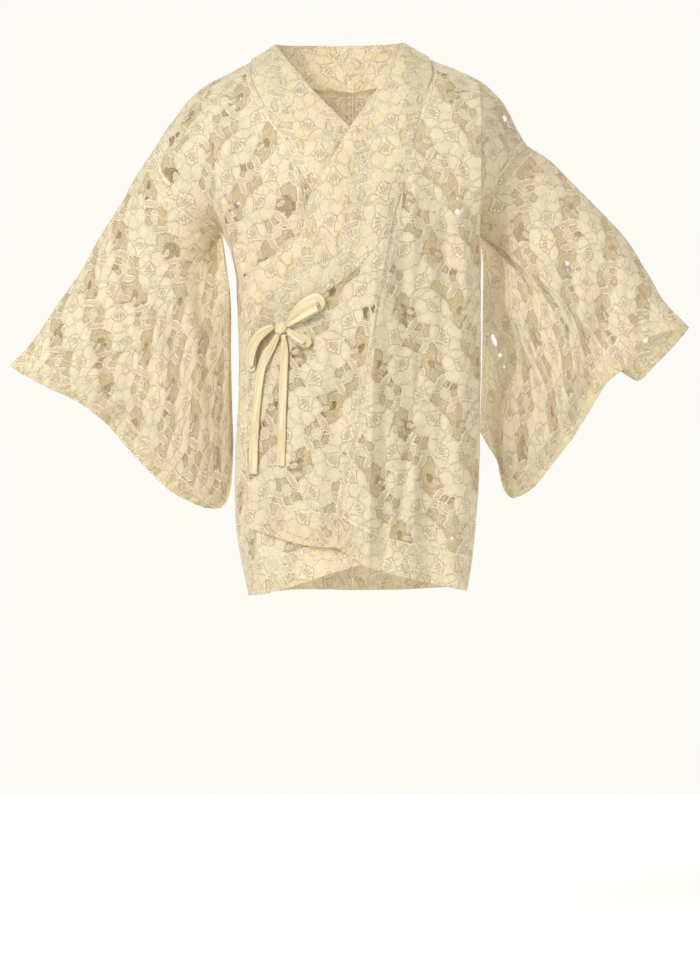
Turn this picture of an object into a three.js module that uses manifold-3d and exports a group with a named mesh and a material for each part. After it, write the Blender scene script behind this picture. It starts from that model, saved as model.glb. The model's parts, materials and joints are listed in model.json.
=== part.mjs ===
// Kimono coat of corded floral lace, in the shape it takes when it is worn and tied.
// Millimetres, +Z up. The front faces -Y and the wearer's left is +X.
// The origin lies between the two neck points. A drop is a depth below that height.
import * as THREE from "three";
import Module from "manifold-3d";

const wasm = await Module();
wasm.setup();

// Cloth thicknesses and the parting between pieces
const LACE_WALL = 1.5;
const COLLAR_WALL = 3;
const RIBBON_WALL = 2;
const HALF_SEAM = 0.17;
// How far the over front lies outside the under front, and the collar outside its panel
const OVER_LIFT = 10;
const COLLAR_LIFT = 5;
// The sides of the body are flat over this depth, front and back of the side seam
const SIDE_FRONT = 40;
const SIDE_BACK = 30;
const SIDE_ROUNDNESS = 0.72;
const CENTRE_BACK = 12;
// How far below the shoulder line the full depth is reached, at the neck and at the arm
const REACH_NECK = 185;
const REACH_ARM = 70;
const REACH_X = 280;
// The step that the front's pleat folds back, and the small bulge round each side
const PLEAT_STEP = 6;
const SIDE_BULGE = 4;
// The armhole's half width at its widest
const ARMHOLE_DEEP = 46;
// The body panel's inner edge lies beside the collar seam at the shoulder and tucks under below
const COLLAR_BESIDE = 3;
const COLLAR_TUCK = 8;
// The collar stands this far above the shoulder line, and bows out round the back neck
const COLLAR_STAND = 4;
const COLLAR_BOW = 5;
// Grid counts. A front panel has rows beside the armhole, rows beside the collar, and columns
// on its flat part and round the side
const ROWS = 15;
const ARM_ROWS = 4;
const COLLAR_ROWS = 5;
const FLAT_COLS = 5;
const CAP_COLS = 3;
const OVERLAP_COLS = 5;
const NECK_COLS = 3;
const COLLAR_COLS = 3;
const COLLAR_FRONT_ROWS = 16;
const COLLAR_BACK_COLS = 14;
const SLEEVE_ROWS = 13;
const SLEEVE_COLS = 8;
// The lace repeat, and the largest gap in it
const REPEAT_WIDE = 90;
const REPEAT_HIGH = 86;
const GAP_LONG = 11;
const GAP_SHORT = 7.5;
const GAP_EDGE = 9;
// No panel is wider or longer than this many repeats
const GAP_ROWS = 12;
// The lace of the back pieces is cut half a repeat higher, so that its gaps lie off the front's
const BACK_SHIFT = 43;
// The gap's outline. Columns: share of its half length, share of its half width
const GAP_OUTLINE = [[1, 0.1], [0.1, 1], [-1, 0.35], [-0.7, -0.75], [0.45, -0.95]];
// The turn of the gap's long way from the fall of the cloth, in radians, by repeat
const GAP_TURN_EVEN = -0.5;
const GAP_TURN_ODD = 0.6;
// How far the cut reaches out of and into the cloth
const PLUG_OUT = 4;
const PLUG_IN = 5;

// The worn body. Columns: drop, left edge, right edge, front depth, back depth
const BODY = [
  [0, -350, 350, 96, 84],
  [140, -345, 345, 124, 108],
  [200, -305, 310, 130, 112],
  [250, -235, 250, 132, 112],
  [300, -184, 212, 132, 110],
  [400, -167, 207, 130, 106],
  [550, -168, 205, 126, 106],
  [700, -172, 202, 122, 108],
  [800, -162, 193, 119, 110],
  [900, -150, 184, 117, 110],
];
// The shoulder line that the cloth hangs from. Columns: x, drop
const SHOULDER_LEFT = [
  [91, -3], [130, 19], [174, 36], [206, 51], [226, 67], [243, 84], [255, 104], [268, 130],
  [282, 153],
];
const SHOULDER_RIGHT = [
  [-108, 0], [-145, 23], [-170, 36], [-200, 51], [-225, 67], [-243, 84], [-259, 104],
  [-279, 131], [-302, 167],
];
// Pleat and seam lines down the garment. Columns: x, drop
const PLEAT_LEFT = [
  [206, 51], [206, 222], [204, 300], [205, 400], [203, 625], [200, 702], [192, 790],
  [184, 840],
];
const PLEAT_RIGHT = [
  [-212, 59], [-204, 140], [-192, 225], [-176, 300], [-150, 375], [-134, 430], [-132, 520],
  [-136, 700], [-128, 846],
];
const ARMHOLE_LEFT = [[282, 153], [252, 190], [228, 225], [212, 252], [206, 291]];
const ARMHOLE_RIGHT = [[-302, 167], [-284, 208], [-258, 238], [-224, 262], [-190, 291]];
const SIDE_SEAM_LEFT = [[206, 291], [205, 400], [203, 625], [200, 702], [191, 790], [184, 838]];
const SIDE_SEAM_RIGHT = [
  [-190, 291], [-171, 330], [-164, 392], [-164, 547], [-169, 625], [-169, 733], [-158, 808],
  [-149, 850],
];
const COLLAR_SEAM_OVER = [
  [130, 19], [133, 48], [124, 78], [105, 152], [79, 256], [42, 327], [-16, 380], [-93, 420],
  [-153, 446],
];
const COLLAR_EDGE_OVER = [
  [91, -3], [51, 74], [8, 140], [-23, 194], [-54, 248], [-66, 300], [-95, 324], [-138, 349],
  [-156, 366],
];
const COLLAR_SEAM_UNDER = [
  [-145, 23], [-141, 59], [-116, 113], [-85, 167], [-56, 226], [0, 299], [60, 362], [112, 402],
];
const COLLAR_EDGE_UNDER = [[-108, 0], [-70, 51], [-39, 90], [8, 140], [50, 192], [91, 242], [122, 282]];
const FRONT_SEAM_OVER = [[79, 256], [54, 392], [26, 547], [-3, 693], [-12, 773]];
const FRONT_SEAM_UNDER = [[-70, 198], [-44, 392], [-20, 547], [-6, 693], [-4, 807]];
const LEADING_EDGE_OVER = [[-153, 446], [-160, 547], [-160, 650], [-150, 705], [-146, 744]];
const LEADING_EDGE_UNDER = [[112, 402], [128, 480], [134, 600], [132, 772]];
const HEM_FRONT_OVER = [[-12, 773], [0, 781], [37, 803], [78, 815], [118, 825], [184, 840]];
const HEM_OVERLAP_OVER = [[-146, 744], [-112, 755], [-62, 769], [-12, 773]];
const HEM_FRONT_UNDER = [[-128, 846], [-104, 840], [-70, 829], [-29, 815], [-4, 807]];
const HEM_OVERLAP_UNDER = [[-4, 807], [26, 798], [80, 786], [132, 772]];
// Where the back turns to the side, and the back hem. Columns: x, drop
const BACK_SIDE_LEFT = [[206, 51], [222, 150], [200, 300], [198, 560], [193, 700], [176, 838]];
const BACK_SIDE_RIGHT = [[-200, 51], [-222, 150], [-170, 310], [-156, 560], [-160, 700], [-140, 850]];
const HEM_BACK_LEFT = [[CENTRE_BACK, 846], [98, 844], [176, 838]];
const HEM_BACK_RIGHT = [[CENTRE_BACK, 846], [-75, 844], [-140, 850]];
// The back neckline. Columns: x, drop
const NECKLINE_LEFT = [[CENTRE_BACK, 62], [52, 55], [96, 38], [130, 19]];
const NECKLINE_RIGHT = [[CENTRE_BACK, 62], [-40, 58], [-100, 44], [-145, 23]];
// The collar's standing edge at the back. Columns: x, depth behind the shoulder line, drop
const COLLAR_EDGE_BACK = [
  [-108, 0, 0], [-84, 40, -4], [-40, 66, -8], [0, 74, -9], [40, 62, -8], [76, 34, -6],
  [91, 0, -3],
];
// The sleeves, as seen from the front. Columns: x, drop
const SLEEVE_LEFT = {
  top: [
    [282, 153], [316, 175], [347, 206], [378, 237], [409, 268], [437, 299], [457, 330],
    [476, 361], [494, 392], [535, 434],
  ],
  cuffFront: [
    [535, 434], [482, 446], [453, 460], [432, 496], [405, 522], [380, 563], [355, 603],
    [333, 632], [313, 659], [294, 682], [274, 696],
  ],
  cuffBack: [
    [535, 434], [519, 456], [485, 492], [458, 516], [432, 498], [405, 524], [380, 565],
    [355, 605], [333, 634], [313, 660], [294, 683], [274, 696],
  ],
  bottomFront: [[238, 640], [243, 672], [250, 690], [260, 699], [274, 696]],
  bottomBack: [[210, 596], [222, 617], [237, 642], [250, 686], [260, 699], [274, 696]],
  freeFront: [
    [206, 291], [232, 315], [245, 336], [248, 405], [260, 443], [265, 496], [248, 539],
    [236, 590], [238, 640],
  ],
  freeBack: [[206, 291], [214, 330], [215, 400], [214, 470], [212, 540], [210, 596]],
  swing: 26,
};
const SLEEVE_RIGHT = {
  top: [
    [-302, 167], [-327, 206], [-343, 237], [-363, 268], [-383, 299], [-409, 346], [-442, 392],
    [-485, 454], [-522, 494],
  ],
  cuffFront: [
    [-522, 494], [-488, 514], [-457, 530], [-420, 547], [-377, 578], [-336, 625], [-307, 656],
    [-274, 687], [-246, 704], [-219, 715],
  ],
  cuffBack: [
    [-522, 494], [-488, 514], [-457, 530], [-420, 547], [-377, 578], [-336, 625], [-307, 656],
    [-274, 687], [-246, 704], [-219, 715],
  ],
  bottomFront: [[-175, 625], [-176, 660], [-181, 695], [-194, 714], [-219, 715]],
  bottomBack: [[-174, 612], [-176, 655], [-181, 695], [-194, 714], [-219, 715]],
  freeFront: [
    [-190, 291], [-187, 330], [-180, 370], [-180, 459], [-180, 538], [-178, 590], [-175, 625],
  ],
  freeBack: [[-190, 291], [-184, 340], [-178, 400], [-178, 470], [-176, 560], [-174, 612]],
  swing: 34,
};
// Half the thickness of a filled sleeve down from its top fold. Columns: share of the drop, depth
const SLEEVE_DEPTH = [
  [0, 0], [0.04, 20], [0.09, 31], [0.16, 38], [0.28, 39], [0.45, 30], [0.65, 19], [0.85, 11],
  [0.95, 6], [1, 0],
];
const CUFF_MOUTH = 0.4;
// Soft folds. Columns: x and drop at the top end, x and drop at the low end, half width, height
const FRONT_FOLDS = [
  [60, 250, 32, 800, 22, 9],
  [92, 330, 130, 810, 24, -11],
  [186, 330, 172, 780, 16, 6],
  [-10, 420, -8, 770, 14, -6],
  [-70, 460, -86, 730, 26, 6],
  [110, 120, 158, 330, 18, -5],
  [-150, 110, -120, 330, 18, -5],
  [-104, 300, -84, 430, 12, 5],
];
const BACK_FOLDS = [
  [-90, 200, -110, 840, 26, 7],
  [100, 180, 118, 820, 24, 8],
  [-150, 330, -148, 820, 16, -6],
  [160, 330, 166, 800, 16, -7],
  [40, 420, 52, 830, 20, -6],
  [-36, 380, -48, 840, 18, -7],
];
const SLEEVE_FOLDS = [
  [-331, 250, -340, 395, 12, -7],
  [-340, 395, -322, 480, 12, -7],
  [-266, 300, -240, 414, 14, 8],
  [-240, 414, -212, 590, 16, 8],
  [-430, 420, -380, 540, 18, 5],
  [411, 361, 382, 520, 18, -8],
  [320, 300, 330, 470, 20, 7],
  [280, 330, 292, 600, 14, -6],
  [450, 380, 440, 440, 12, 5],
];
// The tie. Columns: x, drop, lift over the front, width
const KNOT = { x: -95, drop: 441, wide: 26, high: 22, deep: 15, clear: 0.2 };
const TAIL_LEFT = [
  [-100.2, 450.4, 8, 8], [-109, 467, 7, 13], [-119, 482, 6, 16], [-127, 502, 5, 16],
  [-133, 548, 4, 16], [-138, 605, 4, 17], [-140, 662, 5, 17],
];
const TAIL_RIGHT = [
  [-93.2, 452, 8, 8], [-91, 468, 7, 13], [-93, 519, 5, 15], [-95, 580, 4, 15],
  [-97, 650, 4, 15],
];
const LOOP_UPPER = [
  [-87.8, 437.4, 8.5, 10], [-64, 416, 14, 28], [-44, 404, 13, 30], [-41, 407, 5, 22],
  [-59, 422, 4, 18], [-68, 430, 4, 10],
];
const LOOP_LOWER = [
  [-86.6, 445.6, 8, 7], [-70, 456, 12, 16], [-58, 462, 9, 18], [-60, 466, 3, 14],
  [-74, 459, 3, 10],
];
const LOOP_LEFT = [
  [-107.5, 438.5, 9, 8], [-128, 451, 15, 16], [-141, 472, 16, 19], [-145, 496, 10, 18],
  [-141, 501, 4, 14], [-139, 488, 4, 12], [-138, 476, 4, 9],
];

const COLOURS = {
  lace: "#e6d8ac",
  collar: "#e3d39d",
  ribbon: "#ead9ab",
};

// A smooth track through values at growing knots
function track(knots, values) {
  const slope = (i) => {
    const a = Math.max(0, i - 1);
    const b = Math.min(knots.length - 1, i + 1);
    return (values[b] - values[a]) / (knots[b] - knots[a]);
  };
  return (k) => {
    if (k <= knots[0]) return values[0];
    if (k >= knots[knots.length - 1]) return values[knots.length - 1];
    let i = 0;
    while (k > knots[i + 1]) i += 1;
    const h = knots[i + 1] - knots[i];
    const t = (k - knots[i]) / h;
    const bend = (1 - t) * (values[i] * (1 + 2 * t) + slope(i) * h * t) * (1 - t);
    return bend + t * t * (values[i + 1] * (3 - 2 * t) - slope(i + 1) * h * (1 - t));
  };
}

// A line through the rows of a table, as a function from 0 to 1 of its length
function rail(rows) {
  const far = [0];
  for (let i = 1; i < rows.length; i += 1) {
    const step = Math.hypot(...rows[i].map((value, k) => value - rows[i - 1][k]).slice(0, 3));
    far.push(far[i - 1] + step);
  }
  const total = far[far.length - 1];
  const knots = far.map((d) => d / total);
  const tracks = rows[0].map((_, k) => track(knots, rows.map((row) => row[k])));
  return (u) => tracks.map((f) => f(u));
}

const clamp = (value, low = 0, high = 1) => Math.min(high, Math.max(low, value));
const ease = (value) => clamp(value) ** 2 * (3 - 2 * clamp(value));
const mix = (a, b, share) => a + (b - a) * share;

const bodyTrack = [1, 2, 3, 4].map((k) => track(BODY.map((row) => row[0]), BODY.map((row) => row[k])));
const shoulderLeft = track(SHOULDER_LEFT.map((r) => r[0]), SHOULDER_LEFT.map((r) => r[1]));
const shoulderRight = track(SHOULDER_RIGHT.map((r) => -r[0]), SHOULDER_RIGHT.map((r) => r[1]));

// How far a place lies below the shoulder line, as the share of the full depth reached there
function fullness(x, drop) {
  const top = x > 0 ? shoulderLeft(x) : shoulderRight(-x);
  const reach = mix(REACH_NECK, REACH_ARM, clamp(Math.abs(x) / REACH_X));
  const share = clamp((drop - top) / reach);
  return (1 - (1 - share) ** 2) ** 0.7;
}

// The height of all folds in a table at one place, even along each fold and soft at its ends
function foldHeight(folds, x, drop) {
  let sum = 0;
  for (const [x0, drop0, x1, drop1, half, height] of folds) {
    const [ax, ad] = [x1 - x0, drop1 - drop0];
    const run = clamp(((x - x0) * ax + (drop - drop0) * ad) / (ax ** 2 + ad ** 2), -0.3, 1.3);
    const off = Math.hypot(x - mix(x0, x1, run), drop - mix(drop0, drop1, run));
    const end = ease((run + 0.15) / 0.3) * ease((1.2 - run) / 0.25);
    sum += height * Math.exp(-((off / half) ** 2)) * end;
  }
  return sum;
}

// Depth of the worn form in front of (face -1) or behind (face 1) the shoulder line
function depth(face, x, drop, lift) {
  const [left, right, front, back] = bodyTrack.map((f) => f(drop));
  const middle = (left + right) / 2;
  const across = clamp(Math.abs(x - middle) / ((right - left) / 2));
  const side = face < 0 ? SIDE_FRONT : SIDE_BACK;
  const round = side + ((face < 0 ? front : back) - side) * (1 - across ** 2) ** SIDE_ROUNDNESS;
  const fold = foldHeight(face < 0 ? FRONT_FOLDS : BACK_FOLDS, x, drop);
  const full = fullness(x, drop);
  return round * full + (lift + fold) * clamp(full * 1.6);
}

const place = (face, x, drop, lift) => new THREE.Vector3(x, face * depth(face, x, drop, lift), -drop);

// The direction out of the cloth at a place on the worn form
function outward(face, x, drop) {
  const d = 4;
  const dx = (depth(face, x + d, drop, 0) - depth(face, x - d, drop, 0)) / (2 * d);
  const dz = (depth(face, x, drop - d, 0) - depth(face, x, drop + d, 0)) / (2 * d);
  return new THREE.Vector3(-dx, face, -dz).normalize();
}

const steps = (n) => Array.from({ length: n + 1 }, (_, i) => i / n);

// A four-sided patch of x and drop from its four edges, each a list of points
function patch(top, bottom, start, end) {
  const rows = start.length - 1;
  const cols = top.length - 1;
  return start.map((_, i) => top.map((__, j) => {
    const [u, v] = [j / cols, i / rows];
    return [0, 1].map((k) => {
      const along = mix(top[j][k], bottom[j][k], v) + mix(start[i][k], end[i][k], u);
      const upper = mix(top[0][k], top[cols][k], u);
      const lower = mix(bottom[0][k], bottom[cols][k], u);
      return along - mix(upper, lower, v);
    });
  }));
}

const spread = (line, count) => steps(count).map((u) => line(u));

// The direction out of every point of a grid, by the cross of its two ways
function gridNormals(grid, turn) {
  const along = (a, b) => new THREE.Vector3().subVectors(b, a).normalize();
  const last = grid.length - 1;
  return grid.map((row, i) => row.map((point, j) => {
    const down = along(grid[Math.max(i - 1, 0)][j], grid[Math.min(i + 1, last)][j]);
    const sum = new THREE.Vector3();
    if (j > 0) sum.add(down.clone().cross(along(row[j - 1], point)).normalize());
    if (j + 1 < row.length) sum.add(down.clone().cross(along(point, row[j + 1])).normalize());
    return sum.normalize().multiplyScalar(turn);
  }));
}

// A closed wall under a grid of outer points. turn is 1 where the columns run to the right as
// the cloth is looked at. seams(i, j, normal) may turn the normals where pieces meet
function wall({ grid, thick, turn, seams = () => {} }) {
  const normals = gridNormals(grid, turn);
  const [rows, cols] = [grid.length, grid[0].length];
  const positions = [];
  for (const side of [0, -thick]) {
    grid.forEach((row, i) => row.forEach((point, j) => {
      if (side === 0) seams(i, j, normals[i][j]);
      const out = normals[i][j].normalize();
      positions.push(...point.clone().addScaledVector(out, side).toArray());
    }));
  }
  const inner = rows * cols;
  const at = (i, j) => i * cols + j;
  const index = [];
  const quad = (a, b, c, d) => index.push(...(turn > 0 ? [a, b, c, a, c, d] : [a, c, b, a, d, c]));
  const rim = (a, b) => quad(a, b, inner + b, inner + a);
  for (let i = 0; i + 1 < rows; i += 1) {
    for (let j = 0; j + 1 < cols; j += 1) {
      const [a, b, c, d] = [at(i, j), at(i + 1, j), at(i + 1, j + 1), at(i, j + 1)];
      quad(a, b, c, d);
      quad(inner + a, inner + d, inner + c, inner + b);
    }
  }
  for (let i = 0; i + 1 < rows; i += 1) {
    rim(at(i + 1, 0), at(i, 0));
    rim(at(i, cols - 1), at(i + 1, cols - 1));
  }
  for (let j = 0; j + 1 < cols; j += 1) {
    rim(at(0, j), at(0, j + 1));
    rim(at(rows - 1, j + 1), at(rows - 1, j));
  }
  return { positions, index, grid, normals };
}

const armholeDepth = (share) => ARMHOLE_DEEP * Math.sin(Math.PI * clamp(share)) ** 0.8;

// The shared points of an armhole and the side seam below it
function sideLine(face, side) {
  const arm = rail(side > 0 ? ARMHOLE_LEFT : ARMHOLE_RIGHT);
  const seam = rail(side > 0 ? SIDE_SEAM_LEFT : SIDE_SEAM_RIGHT);
  return steps(ROWS).map((_, i) => {
    const share = i / ARM_ROWS;
    const [x, drop] = share <= 1 ? arm(share) : seam((i - ARM_ROWS) / (ROWS - ARM_ROWS));
    return new THREE.Vector3(x, face * (HALF_SEAM + (share < 1 ? armholeDepth(share) : 0)), -drop);
  });
}

function sideNormal(face, side, i) {
  const share = i / ARM_ROWS;
  if (share >= 1) return new THREE.Vector3(side, 0, 0);
  return new THREE.Vector3(side * 0.45, face * ease(share / 0.4), 0.85 * (1 - ease(share / 0.5))).normalize();
}

// A body panel, front (face -1) or back (face 1), left (side 1) or right (side -1).
// Its flat part runs from the inner seam to the pleat line, and the rest round to the armhole
// and the side seam. The front steps down at the pleat, where its edge lies folded
function bodyPanel({ face, side, inner, pleat, top, hem, lift }) {
  const pleatLine = spread(rail(pleat), ROWS);
  const flat = patch(top, spread(rail(hem), top.length - 1), inner, pleatLine);
  const shoulder = rail(side > 0 ? SHOULDER_LEFT_CAP : SHOULDER_RIGHT_CAP);
  const outer = sideLine(face, side);
  const step = face < 0 ? PLEAT_STEP : 0;
  const grid = flat.map((line, i) => {
    const row = line.map(([x, drop], j) => {
      const near = ease((j / (line.length - 1) - 0.7) / 0.3);
      const point = place(face, x, drop, lift + 0.5 * step * near);
      if (i === 0 && drop < shoulderDrop(x) + 1) point.y = face * HALF_SEAM;
      return point;
    });
    const [px, pdrop] = line[line.length - 1];
    for (let k = 0; k <= CAP_COLS; k += 1) {
      if (k === 0 && step === 0) continue;
      const share = k / CAP_COLS;
      const [sx, sdrop] = shoulder(share);
      const x = i === 0 ? sx : mix(px, outer[i].x, share);
      const drop = i === 0 ? sdrop : mix(pdrop, -outer[i].z, share);
      const point = place(face, x, drop, lift - 0.5 * step);
      const blend = i <= ARM_ROWS ? share ** 1.5 : share;
      point.y = mix(point.y, outer[i].y, i === 0 ? 1 : blend);
      if (i > ARM_ROWS) point.x += side * SIDE_BULGE * Math.sin(Math.PI * share);
      if (k === 0) point.x += side * LACE_WALL;
      if (k === CAP_COLS) point.x = outer[i].x - side * (i <= ARM_ROWS ? HALF_SEAM : 0);
      row.push(point);
    }
    return row;
  });
  const cols = grid[0].length - 1;
  const seams = (i, j, normal) => {
    if (j === cols) normal.copy(sideNormal(face, side, i));
    else if (i === 0 && Math.abs(grid[i][j].y) < 1) normal.set(side * 0.4, 0, 1);
    else if (j === 0) normal.copy(outward(face, grid[i][j].x, -grid[i][j].z));
  };
  return wall({ grid, thick: LACE_WALL, turn: -face * side, seams });
}

// The part of the shoulder line beyond the pleat
const SHOULDER_LEFT_CAP = SHOULDER_LEFT.slice(3);
const SHOULDER_RIGHT_CAP = SHOULDER_RIGHT.slice(3);
const shoulderDrop = (x) => (x > 0 ? shoulderLeft(x) : shoulderRight(-x));

// The shared points of a front panel's inner edge. It tucks under the collar where the cloth
// is clear of the shoulder, and then follows the seam to the overlap panel
function frontInner(side, gap) {
  const upper = rail(side > 0 ? OVER_TOP : UNDER_TOP);
  const lower = rail(side > 0 ? FRONT_SEAM_OVER : FRONT_SEAM_UNDER);
  return steps(ROWS).map((_, i) => {
    if (i >= COLLAR_ROWS) {
      const [x, drop] = lower((i - COLLAR_ROWS) / (ROWS - COLLAR_ROWS));
      return [x + side * gap, drop];
    }
    const [x, drop] = upper(i / COLLAR_ROWS);
    return [x + side * mix(COLLAR_BESIDE, -COLLAR_TUCK, ease((drop - 90) / 70)), drop];
  });
}

const collarRun = (table, drop) => table.slice(0, table.findIndex((row) => row[1] >= drop) + 1);
const UNDER_TOP = [...collarRun(COLLAR_SEAM_UNDER, 160), FRONT_SEAM_UNDER[0]];
const OVER_TOP = collarRun(COLLAR_SEAM_OVER, 256);

function frontPanel(side) {
  const over = side > 0;
  const inner = frontInner(side, HALF_SEAM);
  const shoulder = over ? SHOULDER_LEFT.slice(1, 4) : SHOULDER_RIGHT.slice(1, 4);
  const top = spread(rail([inner[0], ...shoulder.slice(1)]), FLAT_COLS);
  const hem = over ? HEM_FRONT_OVER : [...HEM_FRONT_UNDER].reverse();
  return bodyPanel({
    face: -1, side, inner, top, hem, lift: over ? OVER_LIFT : 0,
    pleat: over ? PLEAT_LEFT : PLEAT_RIGHT,
  });
}

function overlapPanel(side) {
  const over = side > 0;
  const seam = frontInner(side, -HALF_SEAM);
  const start = seam.slice(COLLAR_ROWS);
  const collar = over ? COLLAR_SEAM_OVER.slice(4) : [FRONT_SEAM_UNDER[0], ...COLLAR_SEAM_UNDER.slice(4)];
  const cols = OVERLAP_COLS;
  const tuck = over ? COLLAR_TUCK : -COLLAR_BESIDE;
  const top = spread(rail(collar), cols).map(([x, drop], j) => [x, drop - tuck * ease(j * 2 / cols)]);
  top[0] = start[0];
  const edge = over ? LEADING_EDGE_OVER : LEADING_EDGE_UNDER;
  const end = spread(rail([top[cols], ...edge.slice(1)]), start.length - 1);
  const hem = over ? [...HEM_OVERLAP_OVER].reverse() : HEM_OVERLAP_UNDER;
  const bottom = spread(rail(hem), cols);
  const grid = patch(top, bottom, start, end)
    .map((row) => row.map(([x, drop]) => place(-1, x, drop, over ? OVER_LIFT : 0)));
  const seams = (i, j, normal) => {
    if (j === 0) normal.copy(outward(-1, grid[i][0].x, -grid[i][0].z));
  };
  return wall({ grid, thick: LACE_WALL, turn: -side, seams });
}

function backPanel(side) {
  const left = side > 0;
  const neck = spread(rail(left ? NECKLINE_LEFT : NECKLINE_RIGHT), NECK_COLS);
  const frontEdge = frontInner(side, 0)[0];
  const shoulder = left ? SHOULDER_LEFT.slice(2, 4) : SHOULDER_RIGHT.slice(2, 4);
  const ridge = spread(rail([frontEdge, ...shoulder]), FLAT_COLS);
  const top = [...neck.slice(0, NECK_COLS), ...ridge];
  const hem = left ? HEM_BACK_LEFT : HEM_BACK_RIGHT;
  const seam = CENTRE_BACK + side * HALF_SEAM;
  const inner = steps(ROWS).map((v) => [seam, mix(neck[0][1], hem[0][1], v)]);
  top[0] = inner[0];
  const pleat = left ? BACK_SIDE_LEFT : BACK_SIDE_RIGHT;
  return bodyPanel({ face: 1, side, inner, top, pleat, lift: 0, hem });
}

// A collar run from the shoulder line down its front
function collarFront(side) {
  const over = side > 0;
  const free = rail(over ? COLLAR_EDGE_OVER : COLLAR_EDGE_UNDER);
  const seam = rail(over ? COLLAR_SEAM_OVER : COLLAR_SEAM_UNDER);
  const lift = COLLAR_LIFT + (over ? OVER_LIFT : 0);
  const grid = steps(COLLAR_FRONT_ROWS).map((v, i) => steps(COLLAR_COLS).map((u) => {
    const [fx, fdrop] = free(v);
    const [sx, sdrop] = seam(v);
    const point = place(-1, mix(fx, sx, u), mix(fdrop, sdrop, u), lift);
    return i === 0 ? collarTop(over, u, -1) : point;
  }));
  const seams = (i, j, normal) => {
    if (i === 0) normal.set(side * 0.5, 0, 1);
  };
  return wall({ grid, thick: COLLAR_WALL, turn: side, seams });
}

function collarTop(over, u, face) {
  const [fx, fdrop] = (over ? COLLAR_EDGE_OVER : COLLAR_EDGE_UNDER)[0];
  const [sx, sdrop] = (over ? COLLAR_SEAM_OVER : COLLAR_SEAM_UNDER)[0];
  return new THREE.Vector3(mix(fx, sx, u), face * HALF_SEAM, COLLAR_STAND - mix(fdrop, sdrop, u));
}

function collarBack() {
  const edge = rail(COLLAR_EDGE_BACK);
  const neck = rail([...NECKLINE_RIGHT].reverse().concat(NECKLINE_LEFT.slice(1)));
  const cols = COLLAR_BACK_COLS;
  const grid = steps(COLLAR_COLS).map((u) => steps(cols).map((v, j) => {
    if (j === 0 || j === cols) return collarTop(j > 0, u, 1);
    const [ex, ey, edrop] = edge(v);
    const [nx, ndrop] = neck(v);
    const low = place(1, nx, ndrop + COLLAR_STAND, COLLAR_LIFT + 1);
    const bow = COLLAR_BOW * Math.sin(Math.PI * u) * Math.sin(Math.PI * v);
    const z = mix(-edrop, low.z, u) + COLLAR_STAND * (1 - u);
    return new THREE.Vector3(mix(ex, low.x, u), mix(ey, low.y, u) + bow, z);
  }));
  const seams = (i, j, normal) => {
    if (j === 0) normal.set(-0.5, 0, 1);
    if (j === cols) normal.set(0.5, 0, 1);
  };
  return wall({ grid, thick: COLLAR_WALL, turn: -1, seams });
}

// One layer of a sleeve. Its first rows follow the armhole, and the rest hang free
const sleeveDepth = track(SLEEVE_DEPTH.map((row) => row[0]), SLEEVE_DEPTH.map((row) => row[1]));

function sleeveLayer(face, side) {
  const cut = side > 0 ? SLEEVE_LEFT : SLEEVE_RIGHT;
  const front = face < 0;
  const armhole = sideLine(face, side);
  const hanging = rail(front ? cut.freeFront : cut.freeBack);
  const start = steps(SLEEVE_ROWS).map((_, i) => {
    if (i < ARM_ROWS) return [armhole[i].x + side * HALF_SEAM, -armhole[i].z];
    if (i === ARM_ROWS) return [armhole[i].x + side * (HALF_SEAM + LACE_WALL), -armhole[i].z];
    return hanging((i - ARM_ROWS) / (SLEEVE_ROWS - ARM_ROWS));
  });
  const end = spread(rail(front ? cut.cuffFront : cut.cuffBack), SLEEVE_ROWS);
  const top = spread(rail(cut.top), SLEEVE_COLS);
  const bottom = spread(rail(front ? cut.bottomFront : cut.bottomBack), SLEEVE_COLS);
  top[0] = start[0];
  const armpit = -armhole[ARM_ROWS].z;
  const sewn = LACE_WALL + HALF_SEAM;
  const grid = patch(top, bottom, start, end).map((row, i) => row.map(([x, drop], j) => {
    const [u, v] = [j / SLEEVE_COLS, i / SLEEVE_ROWS];
    const closing = ease((v - CUFF_MOUTH) / 0.08) * ease((u - 0.72) / 0.28);
    const mouth = 1 - 0.25 * ease((u - 0.6) / 0.4);
    const half = Math.max(sleeveDepth(v) * mouth * (1 - closing), i === 0 ? HALF_SEAM : sewn);
    const middle = cut.swing * (drop - armpit) / 400;
    const plain = ease(v / 0.15) * ease((1 - v) / 0.1) * ease((1 - u) / 0.1);
    const flat = middle + face * half;
    const hung = flat - foldHeight(SLEEVE_FOLDS, x, drop) * plain;
    const free = ease((i - ARM_ROWS) / 3);
    const attached = i <= ARM_ROWS ? armhole[i].y : mix(armhole[ARM_ROWS].y, flat, free);
    return new THREE.Vector3(x, mix(attached, hung, ease(u / 0.35)), -drop);
  }));
  const seams = (i, j, normal) => {
    if (j === 0 && i <= ARM_ROWS) normal.copy(sideNormal(face, side, i));
    else if (i === 0) normal.set(side * 0.75, 0, 0.65);
    else if (i === SLEEVE_ROWS) normal.set(0, face, 0);
    else if (j === SLEEVE_COLS && i / SLEEVE_ROWS > CUFF_MOUTH) normal.set(0, face, 0);
  };
  return wall({ grid, thick: LACE_WALL, turn: -face * side, seams });
}

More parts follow.
